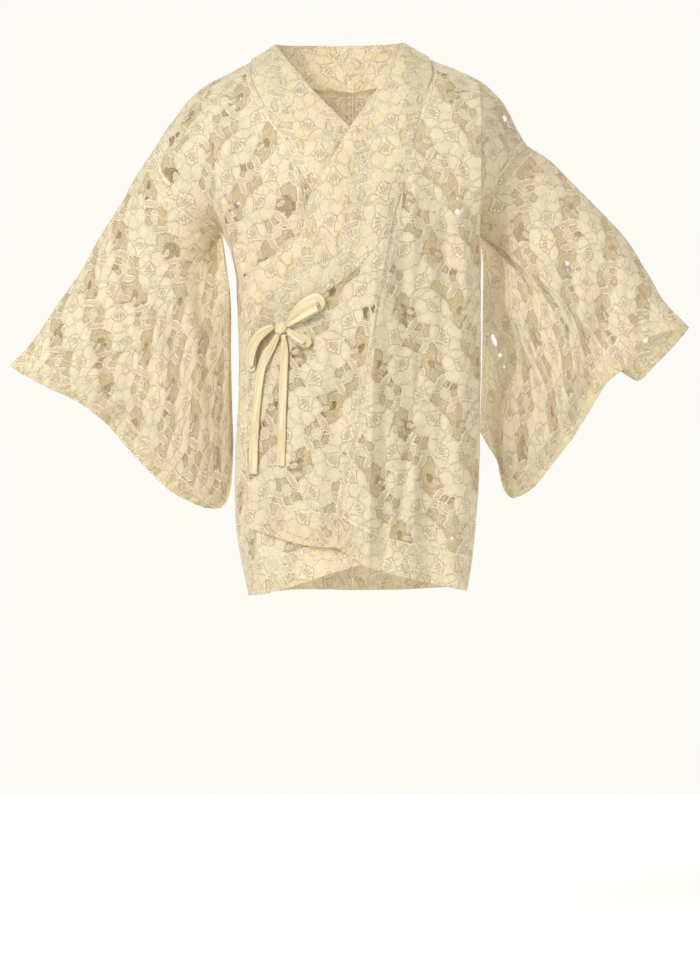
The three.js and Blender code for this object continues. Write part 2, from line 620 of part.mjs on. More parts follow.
// A flat ribbon along a route over the front
function ribbon(route) {
  const count = 2 * (route.length - 1);
  const line = rail(route);
  const centre = (u) => {
    const [x, drop, lift, width] = line(u);
    return { point: place(-1, x, drop, OVER_LIFT + lift), width, x, drop };
  };
  const grid = steps(count).map((u) => {
    const { point, width, x, drop } = centre(u);
    const ahead = centre(Math.min(1, u + 0.02)).point.sub(centre(Math.max(0, u - 0.02)).point).normalize();
    const across = outward(-1, x, drop).cross(ahead).normalize();
    return [-0.5, 0, 0.5].map((w) => point.clone().addScaledVector(across, w * width));
  });
  return wall({ grid, thick: RIBBON_WALL, turn: -1 });
}

// The knot is a rounded bead of wrapped ribbon, flattened against the front
function knot() {
  const ball = new THREE.SphereGeometry(1, 12, 8);
  const { x, drop, wide, high, deep } = KNOT;
  const centre = place(-1, x, drop, OVER_LIFT + deep / 2 + KNOT.clear);
  ball.scale(wide / 2, deep / 2, high / 2).translate(centre.x, centre.y, centre.z);
  return ball;
}

// How far each grid point lies across and down its flat cloth, in mm. An upright piece hangs
// with its threads level and plumb. Any other is measured along its own rows and columns
function flatMeasure(grid, { column, upright }) {
  const way = (a, b, keys) => Math.hypot(...keys.map((key) => b[key] - a[key]));
  const [level, plumb] = upright ? [["x", "y"], ["y", "z"]] : [["x", "y", "z"], ["x", "y", "z"]];
  const toRight = Math.sign(grid[0][grid[0].length - 1].x - grid[0][0].x);
  const across = grid.map((row) => {
    const far = [0];
    for (let j = 1; j < row.length; j += 1) far.push(far[j - 1] + way(row[j - 1], row[j], level));
    const start = (upright ? toRight * row[column].x : 0) - far[column];
    return far.map((value) => value + start);
  });
  const down = [];
  grid.forEach((row, i) => down.push(row.map((point, j) => {
    if (i === 0) return upright ? -point.z : 0;
    const above = grid[i - 1];
    if (upright) return down[i - 1][j] + way(above[j], point, plumb);
    return down[i - 1][j] + way(above[column], row[column], plumb);
  })));
  return { across, down };
}

// The grid's triangle over a flat place, as its corners and the share of each, or undefined
function locate({ across, down }, s, t) {
  for (let i = 0; i + 1 < across.length; i += 1) {
    for (let j = 0; j + 1 < across[0].length; j += 1) {
      for (const third of [[i + 1, j], [i, j + 1]]) {
        const corners = [[i, j], [i + 1, j + 1], third];
        const [a, b, c] = corners.map(([k, l]) => [across[k][l] - s, down[k][l] - t]);
        const parts = [[b, c], [c, a], [a, b]].map(([f, g]) => f[0] * g[1] - g[0] * f[1]);
        const whole = parts[0] + parts[1] + parts[2];
        const shares = parts.map((part) => part / whole);
        if (Math.min(...shares) >= 0) return { corners, shares };
      }
    }
  }
  return undefined;
}

// The places of the largest gap of each lace repeat, with the directions of the cloth there
function gapSites({ grid, normals }, cut) {
  const flat = flatMeasure(grid, cut);
  const sites = [];
  const clear = GAP_LONG + GAP_EDGE;
  for (let n = -1; n <= GAP_ROWS; n += 1) {
    const t = (n + 0.5) * REPEAT_HIGH - cut.shift;
    const odd = Math.abs(n % 2);
    for (let m = -GAP_ROWS; m <= GAP_ROWS; m += 1) {
      const s = (m + odd / 2) * REPEAT_WIDE + REPEAT_WIDE / 4;
      const found = locate(flat, s, t);
      const around = [[clear, 0], [-clear, 0], [0, clear], [0, -clear]];
      if (!found || !around.every(([ds, dt]) => locate(flat, s + ds, t + dt))) continue;
      const at = (list) => found.corners.reduce(
        (sum, [i, j], k) => sum.addScaledVector(list[i][j], found.shares[k]),
        new THREE.Vector3(),
      );
      const normal = at(normals).normalize();
      const [i, j] = found.corners[0];
      const below = grid[i + 1][j].clone().sub(grid[i][j]);
      const fall = (cut.upright ? new THREE.Vector3(0, 0, -1) : below).projectOnPlane(normal).normalize();
      fall.applyAxisAngle(normal, Math.abs((m + n) % 2) ? GAP_TURN_ODD : GAP_TURN_EVEN);
      sites.push({ point: at(grid), normal, fall, wide: normal.clone().cross(fall).normalize() });
    }
  }
  return sites;
}

// A leaf-shaped plug that cuts one gap
function plug({ point, normal, fall, wide }) {
  const positions = [];
  for (const far of [PLUG_OUT, -PLUG_IN]) {
    for (const [a, b] of GAP_OUTLINE) {
      const corner = point.clone().addScaledVector(fall, a * GAP_LONG);
      corner.addScaledVector(wide, b * GAP_SHORT).addScaledVector(normal, far);
      positions.push(...corner.toArray());
    }
  }
  const count = GAP_OUTLINE.length;
  const index = [];
  for (let k = 1; k + 1 < count; k += 1) index.push(0, k, k + 1, count, count + k + 1, count + k);
  for (let k = 0; k < count; k += 1) {
    const next = (k + 1) % count;
    index.push(k, count + k, count + next, k, count + next, next);
  }
  return solid(positions, index);
}

function solid(positions, index) {
  return new wasm.Manifold(new wasm.Mesh({
    numProp: 3, vertProperties: new Float32Array(positions), triVerts: new Uint32Array(index),
  }));
}

function geometryOf(made) {
  const { vertProperties, triVerts } = made.getMesh();
  const geometry = new THREE.BufferGeometry();
  geometry.setAttribute("position", new THREE.BufferAttribute(new Float32Array(vertProperties), 3));
  geometry.setIndex(new THREE.BufferAttribute(new Uint32Array(triVerts), 1));
  geometry.computeVertexNormals();
  return geometry;
}

const coat = new THREE.Group();
function add(name, geometry, colour) {
  const material = new THREE.MeshStandardMaterial({ color: colour, roughness: 0.85, metalness: 0 });
  const mesh = new THREE.Mesh(geometry, material);
  mesh.name = name;
  coat.add(mesh);
}

// Adds a lace panel with its gaps cut. cut says how its lace is measured: from which column,
// whether it hangs upright, and how far its pattern is shifted up
function addLace(name, panel, cut) {
  let made = solid(panel.positions, panel.index);
  for (const site of gapSites(panel, cut)) made = made.subtract(plug(site));
  add(name, geometryOf(made), COLOURS.lace);
}

for (const [name, side] of [["left", 1], ["right", -1]]) {
  addLace(`front_${name}`, frontPanel(side), { column: FLAT_COLS, upright: true, shift: 0 });
  addLace(`overlap_${name}`, overlapPanel(side), { column: 0, upright: true, shift: 0 });
  addLace(`back_${name}`, backPanel(side), { column: 0, upright: true, shift: BACK_SHIFT });
  addLace(`sleeve_${name}_front`, sleeveLayer(-1, side), { column: 0, upright: false, shift: 0 });
  addLace(`sleeve_${name}_back`, sleeveLayer(1, side), { column: 0, upright: false, shift: BACK_SHIFT });
}
const collars = { collar_left: collarFront(1), collar_right: collarFront(-1), collar_back: collarBack() };
for (const [name, { positions, index }] of Object.entries(collars)) {
  add(name, geometryOf(solid(positions, index)), COLOURS.collar);
}
const ribbons = {
  tie_loop_upper: LOOP_UPPER, tie_loop_lower: LOOP_LOWER, tie_loop_left: LOOP_LEFT,
  tie_tail_left: TAIL_LEFT, tie_tail_right: TAIL_RIGHT,
};
for (const [name, route] of Object.entries(ribbons)) {
  const { positions, index } = ribbon(route);
  add(name, geometryOf(solid(positions, index)), COLOURS.ribbon);
}
add("tie_knot", knot(), COLOURS.ribbon);

export default coat;
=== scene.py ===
# The looks of a lace kimono coat, worn and tied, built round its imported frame.
# Tables are in millimetres. The front faces -Y and the wearer's left is +X.
# A drop is a depth below the point between the two neck points.
import json
import math

import bpy
import numpy as np
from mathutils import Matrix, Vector


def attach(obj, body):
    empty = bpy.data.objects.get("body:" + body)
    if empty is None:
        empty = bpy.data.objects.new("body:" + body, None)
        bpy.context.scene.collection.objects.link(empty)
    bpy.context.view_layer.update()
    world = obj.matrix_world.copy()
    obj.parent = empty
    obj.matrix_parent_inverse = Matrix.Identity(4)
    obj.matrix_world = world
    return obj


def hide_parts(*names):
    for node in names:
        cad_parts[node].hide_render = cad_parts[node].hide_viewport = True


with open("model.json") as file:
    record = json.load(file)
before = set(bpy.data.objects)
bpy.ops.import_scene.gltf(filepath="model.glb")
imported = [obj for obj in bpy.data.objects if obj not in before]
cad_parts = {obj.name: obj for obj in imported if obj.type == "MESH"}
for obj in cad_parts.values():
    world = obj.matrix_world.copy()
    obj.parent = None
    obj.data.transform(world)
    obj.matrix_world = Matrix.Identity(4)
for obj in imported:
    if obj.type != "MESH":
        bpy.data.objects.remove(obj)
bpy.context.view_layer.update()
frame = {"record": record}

MM = 0.001

# The thickness of the lace, and half the parting between two sewn pieces
LACE_WALL = 1.5
HALF_SEAM = 0.17
# How far the over front lies outside the under front, and the collar outside its panel in
# front and at the back neck
OVER_LIFT = 10
COLLAR_LIFT = 5
NECK_LIFT = 6
# The sides of the body are flat over this depth, front and back of the side seam, and round
# from there to its middle
SIDE_FRONT = 40
SIDE_BACK = 30
SIDE_ROUNDNESS = 0.72
# Where the centre back seam lies across
CENTRE_BACK = 12
# How far below the shoulder line the full depth is reached, at the neck and at the arm
REACH_NECK = 185
REACH_ARM = 70
REACH_X = 280
# How fast the depth, and the lift and folds with it, swell below the shoulder line
DEPTH_SWELL = 0.7
LIFT_SWELL = 1.6
# The step that the front's pleat folds back, and where the cloth starts to rise to it: a start
# and a way, as shares across
PLEAT_STEP = 6
PLEAT_RISE = (0.7, 0.3)
# The small bulge round each side, and how late the cloth turns in at the armhole
SIDE_BULGE = 4
ARM_TURN = 1.5
# The armhole's half width at its widest, and how full its outline is
ARMHOLE_DEEP = 46
ARMHOLE_ROUNDNESS = 0.8
# The body panel's inner edge lies beside the collar seam at the shoulder. It tucks under from
# this drop on, over this further drop
COLLAR_BESIDE = 1
COLLAR_TUCK = 8
TUCK_DROPS = (90, 70)
# The collar stands this far above the shoulder line, and bows out round the back neck
COLLAR_STAND = 4
COLLAR_BOW = 5
# Its seam edge sinks this far towards the panel that it is sewn to. Each start and way is a
# share, across the collar and down it
COLLAR_SUNK = 3.6
SUNK_ACROSS = (0.72, 0.28)
SUNK_DOWN = (0.04, 0.1)
# Grid counts. A front panel has rows beside the armhole, rows beside the collar, and columns
# on its flat part and round the side
ROWS = 15
ARM_ROWS = 4
COLLAR_ROWS = 5
FLAT_COLS = 5
CAP_COLS = 3
OVERLAP_COLS = 5
NECK_COLS = 3
COLLAR_COLS = 3
COLLAR_FRONT_ROWS = 16
COLLAR_BACK_COLS = 14
SLEEVE_ROWS = 13
SLEEVE_COLS = 8
# The lace repeat, and the largest gap in it
REPEAT_WIDE = 90
REPEAT_HIGH = 86
GAP_LONG = 11
GAP_SHORT = 7.5
# The turn of the gap's long way from the fall of the cloth, in radians, in even and odd repeats
GAP_TURNS = (-0.5, 0.6)

# The worn body. Columns: drop, left edge, right edge, front depth, back depth
BODY = [
  [0, -350, 350, 96, 84], [140, -345, 345, 124, 108], [200, -305, 310, 130, 112],
  [250, -235, 250, 132, 112], [300, -184, 212, 132, 110], [400, -167, 207, 130, 106],
  [550, -168, 205, 126, 106], [700, -172, 202, 122, 108], [800, -162, 193, 119, 110],
  [900, -150, 184, 117, 110],
]
# The shoulder line that the cloth hangs from. Columns: x, drop
SHOULDER_LEFT = [
  [91, -3], [130, 19], [174, 36], [206, 51], [226, 67], [243, 84], [255, 104], [268, 130],
  [282, 153],
]
SHOULDER_RIGHT = [
  [-108, 0], [-145, 23], [-170, 36], [-200, 51], [-225, 67], [-243, 84], [-259, 104],
  [-279, 131], [-302, 167],
]
# Pleat and seam lines down the garment. Columns: x, drop
PLEAT_LEFT = [
  [206, 51], [206, 222], [204, 300], [205, 400], [203, 625], [200, 702], [192, 790],
  [184, 840],
]
PLEAT_RIGHT = [
  [-212, 59], [-204, 140], [-192, 225], [-176, 300], [-150, 375], [-134, 430], [-132, 520],
  [-136, 700], [-128, 846],
]
ARMHOLE_LEFT = [[282, 153], [252, 190], [228, 225], [212, 252], [206, 291]]
ARMHOLE_RIGHT = [[-302, 167], [-284, 208], [-258, 238], [-224, 262], [-190, 291]]
SIDE_SEAM_LEFT = [[206, 291], [205, 400], [203, 625], [200, 702], [191, 790], [184, 838]]
SIDE_SEAM_RIGHT = [
  [-190, 291], [-171, 330], [-164, 392], [-164, 547], [-169, 625], [-169, 733], [-158, 808],
  [-149, 850],
]
COLLAR_SEAM_OVER = [
  [130, 19], [133, 48], [124, 78], [105, 152], [79, 256], [42, 327], [-16, 380], [-93, 420],
  [-153, 446],
]
COLLAR_EDGE_OVER = [
  [91, -3], [51, 74], [8, 140], [-23, 194], [-54, 248], [-66, 300], [-95, 324], [-138, 349],
  [-156, 366],
]
COLLAR_SEAM_UNDER = [
  [-145, 23], [-141, 59], [-116, 113], [-85, 167], [-56, 226], [0, 299], [60, 362], [112, 402],
]
COLLAR_EDGE_UNDER = [[-108, 0], [-70, 51], [-39, 90], [8, 140], [50, 192], [91, 242], [122, 282]]
FRONT_SEAM_OVER = [[79, 256], [54, 392], [26, 547], [-3, 693], [-12, 773]]
FRONT_SEAM_UNDER = [[-70, 198], [-44, 392], [-20, 547], [-6, 693], [-4, 807]]
LEADING_EDGE_OVER = [[-153, 446], [-160, 547], [-160, 650], [-150, 705], [-146, 744]]
LEADING_EDGE_UNDER = [[112, 402], [128, 480], [134, 600], [132, 772]]
HEM_FRONT_OVER = [[-12, 773], [0, 781], [37, 803], [78, 815], [118, 825], [184, 840]]
HEM_OVERLAP_OVER = [[-146, 744], [-112, 755], [-62, 769], [-12, 773]]
HEM_FRONT_UNDER = [[-128, 846], [-104, 840], [-70, 829], [-29, 815], [-4, 807]]
HEM_OVERLAP_UNDER = [[-4, 807], [26, 798], [80, 786], [132, 772]]
# Where the back turns to the side, and the back hem. Columns: x, drop
BACK_SIDE_LEFT = [[206, 51], [222, 150], [200, 300], [198, 560], [193, 700], [176, 838]]
BACK_SIDE_RIGHT = [[-200, 51], [-222, 150], [-170, 310], [-156, 560], [-160, 700], [-140, 850]]
HEM_BACK_LEFT = [[CENTRE_BACK, 846], [98, 844], [176, 838]]
HEM_BACK_RIGHT = [[CENTRE_BACK, 846], [-75, 844], [-140, 850]]
# The back neckline. Columns: x, drop
NECKLINE_LEFT = [[CENTRE_BACK, 62], [52, 55], [96, 38], [130, 19]]
NECKLINE_RIGHT = [[CENTRE_BACK, 62], [-40, 58], [-100, 44], [-145, 23]]
# The collar's standing edge at the back. Columns: x, depth behind the shoulder line, drop
COLLAR_EDGE_BACK = [
  [-108, 0, 0], [-84, 40, -4], [-40, 66, -8], [0, 74, -9], [40, 62, -8], [76, 34, -6],
  [91, 0, -3],
]
# The sleeves, as seen from the front. Columns: x, drop
SLEEVE_LEFT = {
  "top": [
    [282, 153], [316, 175], [347, 206], [378, 237], [409, 268], [437, 299], [457, 330],
    [476, 361], [494, 392], [535, 434],
  ],
  "cuffFront": [
    [535, 434], [482, 446], [453, 460], [432, 496], [405, 522], [380, 563], [355, 603],
    [333, 632], [313, 659], [294, 682], [274, 696],
  ],
  "cuffBack": [
    [535, 434], [519, 456], [485, 492], [458, 516], [432, 498], [405, 524], [380, 565],
    [355, 605], [333, 634], [313, 660], [294, 683], [274, 696],
  ],
  "bottomFront": [[238, 640], [243, 672], [250, 690], [260, 699], [274, 696]],
  "bottomBack": [[210, 596], [222, 617], [237, 642], [250, 686], [260, 699], [274, 696]],
  "freeFront": [
    [206, 291], [232, 315], [245, 336], [248, 405], [260, 443], [265, 496], [248, 539],
    [236, 590], [238, 640],
  ],
  "freeBack": [[206, 291], [214, 330], [215, 400], [214, 470], [212, 540], [210, 596]],
  "swing": 26,
}
CUFF_RIGHT = [
  [-522, 494], [-488, 514], [-457, 530], [-420, 547], [-377, 578], [-336, 625], [-307, 656],
  [-274, 687], [-246, 704], [-219, 715],
]
SLEEVE_RIGHT = {
  "top": [
    [-302, 167], [-327, 206], [-343, 237], [-363, 268], [-383, 299], [-409, 346], [-442, 392],
    [-485, 454], [-522, 494],
  ],
  "cuffFront": CUFF_RIGHT,
  "cuffBack": CUFF_RIGHT,
  "bottomFront": [[-175, 625], [-176, 660], [-181, 695], [-194, 714], [-219, 715]],
  "bottomBack": [[-174, 612], [-176, 655], [-181, 695], [-194, 714], [-219, 715]],
  "freeFront": [
    [-190, 291], [-187, 330], [-180, 370], [-180, 459], [-180, 538], [-178, 590], [-175, 625],
  ],
  "freeBack": [[-190, 291], [-184, 340], [-178, 400], [-178, 470], [-176, 560], [-174, 612]],
  "swing": 34,
}
# Half the thickness of a filled sleeve down from its top fold. Columns: share of the drop, depth
SLEEVE_DEPTH = [
  [0, 0], [0.04, 20], [0.09, 31], [0.16, 38], [0.28, 39], [0.45, 30], [0.65, 19], [0.85, 11],
  [0.95, 6], [1, 0],
]
# A cuff is open from its top to this share of its length, and its layers are sewn together
# below. Each pair is a start and a way, as shares
SHUT_DOWN = (0.4, 0.08)
SHUT_ACROSS = (0.72, 0.28)
# A sleeve is this much flatter at the cuff than at the arm
CUFF_FLATTER = 0.25
FLATTER_ACROSS = (0.6, 0.4)
# The drop over which a sleeve swings forward by its own figure
SWING_DROP = 400
# How far a sleeve's folds keep from its top, its bottom and cuff, and its armhole, as shares
FOLDS_CLEAR = (0.15, 0.1, 0.35)
# The rows over which a sleeve leaves the armhole
ARM_LEAVES = 3
# A fold runs on past both its ends, and fades in and out there. Shares of its length
FOLD_RUN = (-0.3, 1.3)
FOLD_FADES_IN = (-0.15, 0.3)
FOLD_FADES_OUT = (-1.2, 0.25)
# Soft folds. Columns: x and drop at the top end, x and drop at the low end, half width, height
FRONT_FOLDS = [
  [60, 250, 32, 800, 22, 9], [92, 330, 130, 810, 24, -11], [186, 330, 172, 780, 16, 6],
  [-10, 420, -8, 770, 14, -6], [-70, 460, -86, 730, 26, 6], [110, 120, 158, 330, 18, -5],
  [-150, 110, -120, 330, 18, -5], [-104, 300, -84, 430, 12, 5],
]
BACK_FOLDS = [
  [-90, 200, -110, 840, 26, 7], [100, 180, 118, 820, 24, 8], [-150, 330, -148, 820, 16, -6],
  [160, 330, 166, 800, 16, -7], [40, 420, 52, 830, 20, -6], [-36, 380, -48, 840, 18, -7],
]
SLEEVE_FOLDS = [
  [-331, 250, -340, 395, 12, -7], [-340, 395, -322, 480, 12, -7], [-266, 300, -240, 414, 14, 8],
  [-240, 414, -212, 590, 16, 8], [-430, 420, -380, 540, 18, 5], [411, 361, 382, 520, 18, -8],
  [320, 300, 330, 470, 20, 7], [280, 330, 292, 600, 14, -6], [450, 380, 440, 440, 12, 5],
]
# The tie. Columns: x, drop, lift over the front, width
KNOT = {"x": -95, "drop": 441, "wide": 26, "high": 22, "deep": 15, "clear": 0.2}
TAIL_LEFT = [
  [-100.2, 450.4, 8, 8], [-109, 467, 7, 13], [-119, 482, 6, 16], [-127, 502, 5, 16],
  [-133, 548, 4, 16], [-138, 605, 4, 17], [-140, 662, 5, 17],
]
TAIL_RIGHT = [
  [-93.2, 452, 8, 8], [-91, 468, 7, 13], [-93, 519, 5, 15], [-95, 580, 4, 15],
  [-97, 650, 4, 15],
]
LOOP_UPPER = [
  [-87.8, 437.4, 8.5, 10], [-64, 416, 14, 28], [-44, 404, 13, 30], [-41, 407, 5, 22],
  [-59, 422, 4, 18], [-68, 430, 4, 10],
]
LOOP_LOWER = [
  [-86.6, 445.6, 8, 7], [-70, 456, 12, 16], [-58, 462, 9, 18], [-60, 466, 3, 14],
  [-74, 459, 3, 10],
]
LOOP_LEFT = [
  [-107.5, 438.5, 9, 8], [-128, 451, 15, 16], [-141, 472, 16, 19], [-145, 496, 10, 18],
  [-141, 501, 4, 14], [-139, 488, 4, 12], [-138, 476, 4, 9],
]
# Finer creases of the worn lace, added to the frame's main folds. Same columns
FRONT_CREASES = [
  [44, 360, 34, 810, 6, 6], [64, 400, 56, 790, 8, -4.5], [118, 455, 82, 741, 8, -5.5],
  [104, 200, 100, 460, 8, 4.5], [104, 500, 106, 810, 7, 4.5], [150, 280, 146, 620, 9, -5],
  [168, 120, 186, 420, 7, 2.5], [120, 520, 92, 800, 10, 3.5], [14, 430, 4, 700, 8, -3],
  [-34, 470, -40, 745, 9, 4.5], [-60, 470, -62, 640, 6, -2.5], [-110, 470, -124, 720, 8, -4.5],
  [-92, 452, -20, 560, 7, 4.5], [-92, 452, 40, 520, 8, 4], [-150, 150, -132, 420, 7, 3],
  [-170, 120, -156, 300, 8, -3], [-178, 288, -130, 425, 6, 7], [-160, 300, -112, 420, 6, -5],
  [150, 60, 190, 190, 9, 3], [-130, 60, -185, 190, 9, 3], [40, 230, 10, 400, 9, -2.5],
  [60, 640, 64, 800, 7, -2.5], [-100, 640, -104, 830, 8, -3], [-60, 700, -50, 820, 7, 2.5],
]
BACK_CREASES = [
  [-60, 160, -74, 800, 10, -4], [-112, 230, -124, 700, 8, 3], [-20, 240, -24, 830, 9, 3.5],
  [22, 120, 30, 420, 12, 3], [70, 260, 84, 830, 9, -4], [130, 220, 142, 640, 8, 3.5],
  [176, 300, 184, 800, 7, 3], [-150, 140, -176, 300, 9, 3.5], [150, 120, 196, 280, 9, 3.5],
  [60, 560, 66, 840, 8, 3], [-130, 560, -132, 840, 7, 3],
]
SLEEVE_CREASES = [
  [-300, 210, -300, 420, 9, 3], [-380, 320, -366, 520, 10, -4], [-408, 380, -392, 470, 7, 3],
  [-228, 330, -206, 640, 8, -4], [-290, 420, -268, 640, 9, 3], [-318, 430, -300, 610, 8, 3],
  [-350, 520, -330, 610, 8, -3], [-456, 450, -420, 530, 8, -3], [340, 240, 356, 430, 9, -4],
  [372, 300, 350, 560, 8, 3.5], [430, 350, 404, 490, 8, 3], [262, 420, 268, 660, 8, 3],
  [310, 380, 312, 620, 9, -3.5], [296, 200, 300, 330, 9, 3], [240, 330, 262, 480, 7, -3],
  [330, 500, 316, 640, 7, 3],
]
STITCH = 2.05
# The widths of the doubled cloth along each edge. A collar is doubled all across
HEM_BAND = 52
CUFF_BAND = 32
FREE_BAND = 14
SEAM_BAND = 7
COLLAR_WHOLE = 400
# The cloth is whole this far in from every edge, and its stitching swells fully this far in
BORDER = 3.2
EDGE_FLAT = 4
# The way over which the doubled cloth begins
BAND_SOFT = 2


def bounded(value):
    """The value, kept within 0 and 1."""
    return np.clip(value, 0, 1)


def ease(value):
    share = bounded(value)
    return share * share * (3 - 2 * share)


def rise(value, start, way):
    """From 0 at the start to 1 after the way, evenly eased."""
    return ease((value - start) / way)


def mix(a, b, share):
    return a + (b - a) * share


def joined(*parts):
    """Points from their coordinates, or faces from their corners."""
    return np.stack(parts, axis=-1)


def track(knots, values):
    """A smooth track through values at growing knots, flat past both ends."""
    knots = np.asarray(knots, float)
    values = np.asarray(values, float)
    count = len(knots)
    low = np.maximum(np.arange(count) - 1, 0)
    high = np.minimum(np.arange(count) + 1, count - 1)
    slopes = (values[high] - values[low]) / (knots[high] - knots[low])

    def at(k):
        k = np.clip(k, knots[0], knots[-1])
        i = np.clip(np.searchsorted(knots, k, side="right") - 1, 0, count - 2)
        step = knots[i + 1] - knots[i]
        t = (k - knots[i]) / step
        first = (1 - t) ** 2 * (values[i] * (1 + 2 * t) + slopes[i] * step * t)
        return first + t * t * (values[i + 1] * (3 - 2 * t) - slopes[i + 1] * step * (1 - t))

    return at


def step_lengths(points, axis=0):
    """How long the steps are from point to point, along one way of a grid."""
    return np.linalg.norm(np.diff(points, axis=axis), axis=-1)


def rail(rows):
    """A smooth line through the rows of a table, as a function from 0 to 1 of its length."""
    rows = np.asarray(rows, float)
    lengths = step_lengths(rows[:, :3])
    knots = np.concatenate([[0], np.cumsum(lengths)]) / lengths.sum()
    tracks = [track(knots, rows[:, k]) for k in range(rows.shape[1])]
    return lambda u: joined(*(f(u) for f in tracks))


def column_track(table, column=1, sign=1):
    """A smooth track of one column of a table over its first column."""
    return track([sign * row[0] for row in table], [row[column] for row in table])


BODY_TRACKS = [column_track(BODY, k) for k in (1, 2, 3, 4)]
SHOULDER_TRACK_LEFT = column_track(SHOULDER_LEFT)
SHOULDER_TRACK_RIGHT = column_track(SHOULDER_RIGHT, sign=-1)
SLEEVE_TRACK = column_track(SLEEVE_DEPTH)


def fullness(x, drop):
    """How far a place lies below the shoulder line, as the share of the full depth there."""
    top = np.where(x > 0, SHOULDER_TRACK_LEFT(x), SHOULDER_TRACK_RIGHT(-x))
    reach = mix(REACH_NECK, REACH_ARM, bounded(np.abs(x) / REACH_X))
    share = bounded((drop - top) / reach)
    return (1 - (1 - share) ** 2) ** DEPTH_SWELL


def fold_height(folds, x, drop):
    """The height of all folds in a table at each place, soft at each fold's ends."""
    total = np.zeros(np.broadcast(x, drop).shape)
    for x0, drop0, x1, drop1, half, height in folds:
        ax, ad = x1 - x0, drop1 - drop0
        run = np.clip(((x - x0) * ax + (drop - drop0) * ad) / (ax * ax + ad * ad), *FOLD_RUN)
        off = np.hypot(x - mix(x0, x1, run), drop - mix(drop0, drop1, run))
        end = rise(run, *FOLD_FADES_IN) * rise(-run, *FOLD_FADES_OUT)
        total += height * np.exp(-((off / half) ** 2)) * end
    return total


def depth(face, x, drop, lift):
    """Depth of the worn form in front of (face -1) or behind (face 1) the shoulder line."""
    left, right, front, back = [f(drop) for f in BODY_TRACKS]
    across = bounded(np.abs(x - (left + right) / 2) / ((right - left) / 2))
    side = SIDE_FRONT if face < 0 else SIDE_BACK
    full = front if face < 0 else back
    round_part = side + (full - side) * (1 - across * across) ** SIDE_ROUNDNESS
    folds = FRONT_FOLDS + FRONT_CREASES if face < 0 else BACK_FOLDS + BACK_CREASES
    share = fullness(x, drop)
    lifted = (lift + fold_height(folds, x, drop)) * bounded(share * LIFT_SWELL)
    return round_part * share + lifted


def off_seam(face, y):
    """Depths that keep half the parting from the plane in which front and back are sewn."""
    return face * np.maximum(np.abs(y), HALF_SEAM)


def place(face, x, drop, lift):
    return joined(x, face * depth(face, x, drop, lift), -drop)


def outward(face, x, drop):
    """The direction out of the cloth at a place on the worn form."""
    reach = 4
    dx = (depth(face, x + reach, drop, 0) - depth(face, x - reach, drop, 0)) / (2 * reach)
    dz = (depth(face, x, drop - reach, 0) - depth(face, x, drop + reach, 0)) / (2 * reach)
    return unit(joined(-dx, np.full(dx.shape, float(face)), -dz))


def unit(vectors):
    return vectors / np.maximum(np.linalg.norm(vectors, axis=-1, keepdims=True), 1e-9)


def patch(top, bottom, start, end, u, v):
    """A four-sided patch of x and drop. Its edges are functions, of columns u or of rows v."""
    u, v = u[None, :, None], v[:, None, None]
    corners = [f(np.array([k])) for f in (top, bottom) for k in (0.0, 1.0)]
    along = mix(top(u[0, :, 0])[None], bottom(u[0, :, 0])[None], v)
    along = along + mix(start(v[:, 0, 0])[:, None], end(v[:, 0, 0])[:, None], u)
    upper = mix(corners[0], corners[1], u)
    lower = mix(corners[2], corners[3], u)
    return along - mix(upper, lower, v)


def armhole_depth(share):
    """How far the armhole's edge lies in front of or behind the shoulder line."""
    return ARMHOLE_DEEP * np.sin(np.pi * bounded(share)) ** ARMHOLE_ROUNDNESS


def side_line(face, side, rows):
    """The shared line of an armhole and the side seam below it, at rows of the frame's count."""
    share = rows / ARM_ROWS
    arm = rail(ARMHOLE_LEFT if side > 0 else ARMHOLE_RIGHT)(bounded(share))
    seam = rail(SIDE_SEAM_LEFT if side > 0 else SIDE_SEAM_RIGHT)
    below = seam(bounded((rows - ARM_ROWS) / (ROWS - ARM_ROWS)))
    flat = np.where(share[:, None] <= 1, arm, below)
    y = face * (HALF_SEAM + armhole_depth(share))
    return joined(flat[:, 0], y, -flat[:, 1])


def run_to(table, drop):
    """The rows of a line down to the first one at or below the drop."""
    last = next(i for i, row in enumerate(table) if row[1] >= drop)
    return table[:last + 1]


# The collar's seams from the shoulder down to the front seams, which start at or near these drops
OVER_TOP = run_to(COLLAR_SEAM_OVER, 256)
UNDER_TOP = run_to(COLLAR_SEAM_UNDER, 160) + [FRONT_SEAM_UNDER[0]]


def front_inner(side, share, gap):
    """The inner edge of a front panel: beside or under the collar, then the front seam."""
    rows = share * ROWS
    upper = rail(OVER_TOP if side > 0 else UNDER_TOP)(bounded(rows / COLLAR_ROWS))
    seam = rail(FRONT_SEAM_OVER if side > 0 else FRONT_SEAM_UNDER)
    lower = seam(bounded((rows - COLLAR_ROWS) / (ROWS - COLLAR_ROWS)))
    tucked = side * mix(COLLAR_BESIDE, -COLLAR_TUCK, rise(upper[:, 1], *TUCK_DROPS))
    near = bounded(rows - (COLLAR_ROWS - 1))
    x_upper = upper[:, 0] + mix(tucked, side * gap, near)
    high = rows < COLLAR_ROWS
    x = np.where(high, x_upper, lower[:, 0] + side * gap)
    return joined(x, np.where(high, upper[:, 1], lower[:, 1]))


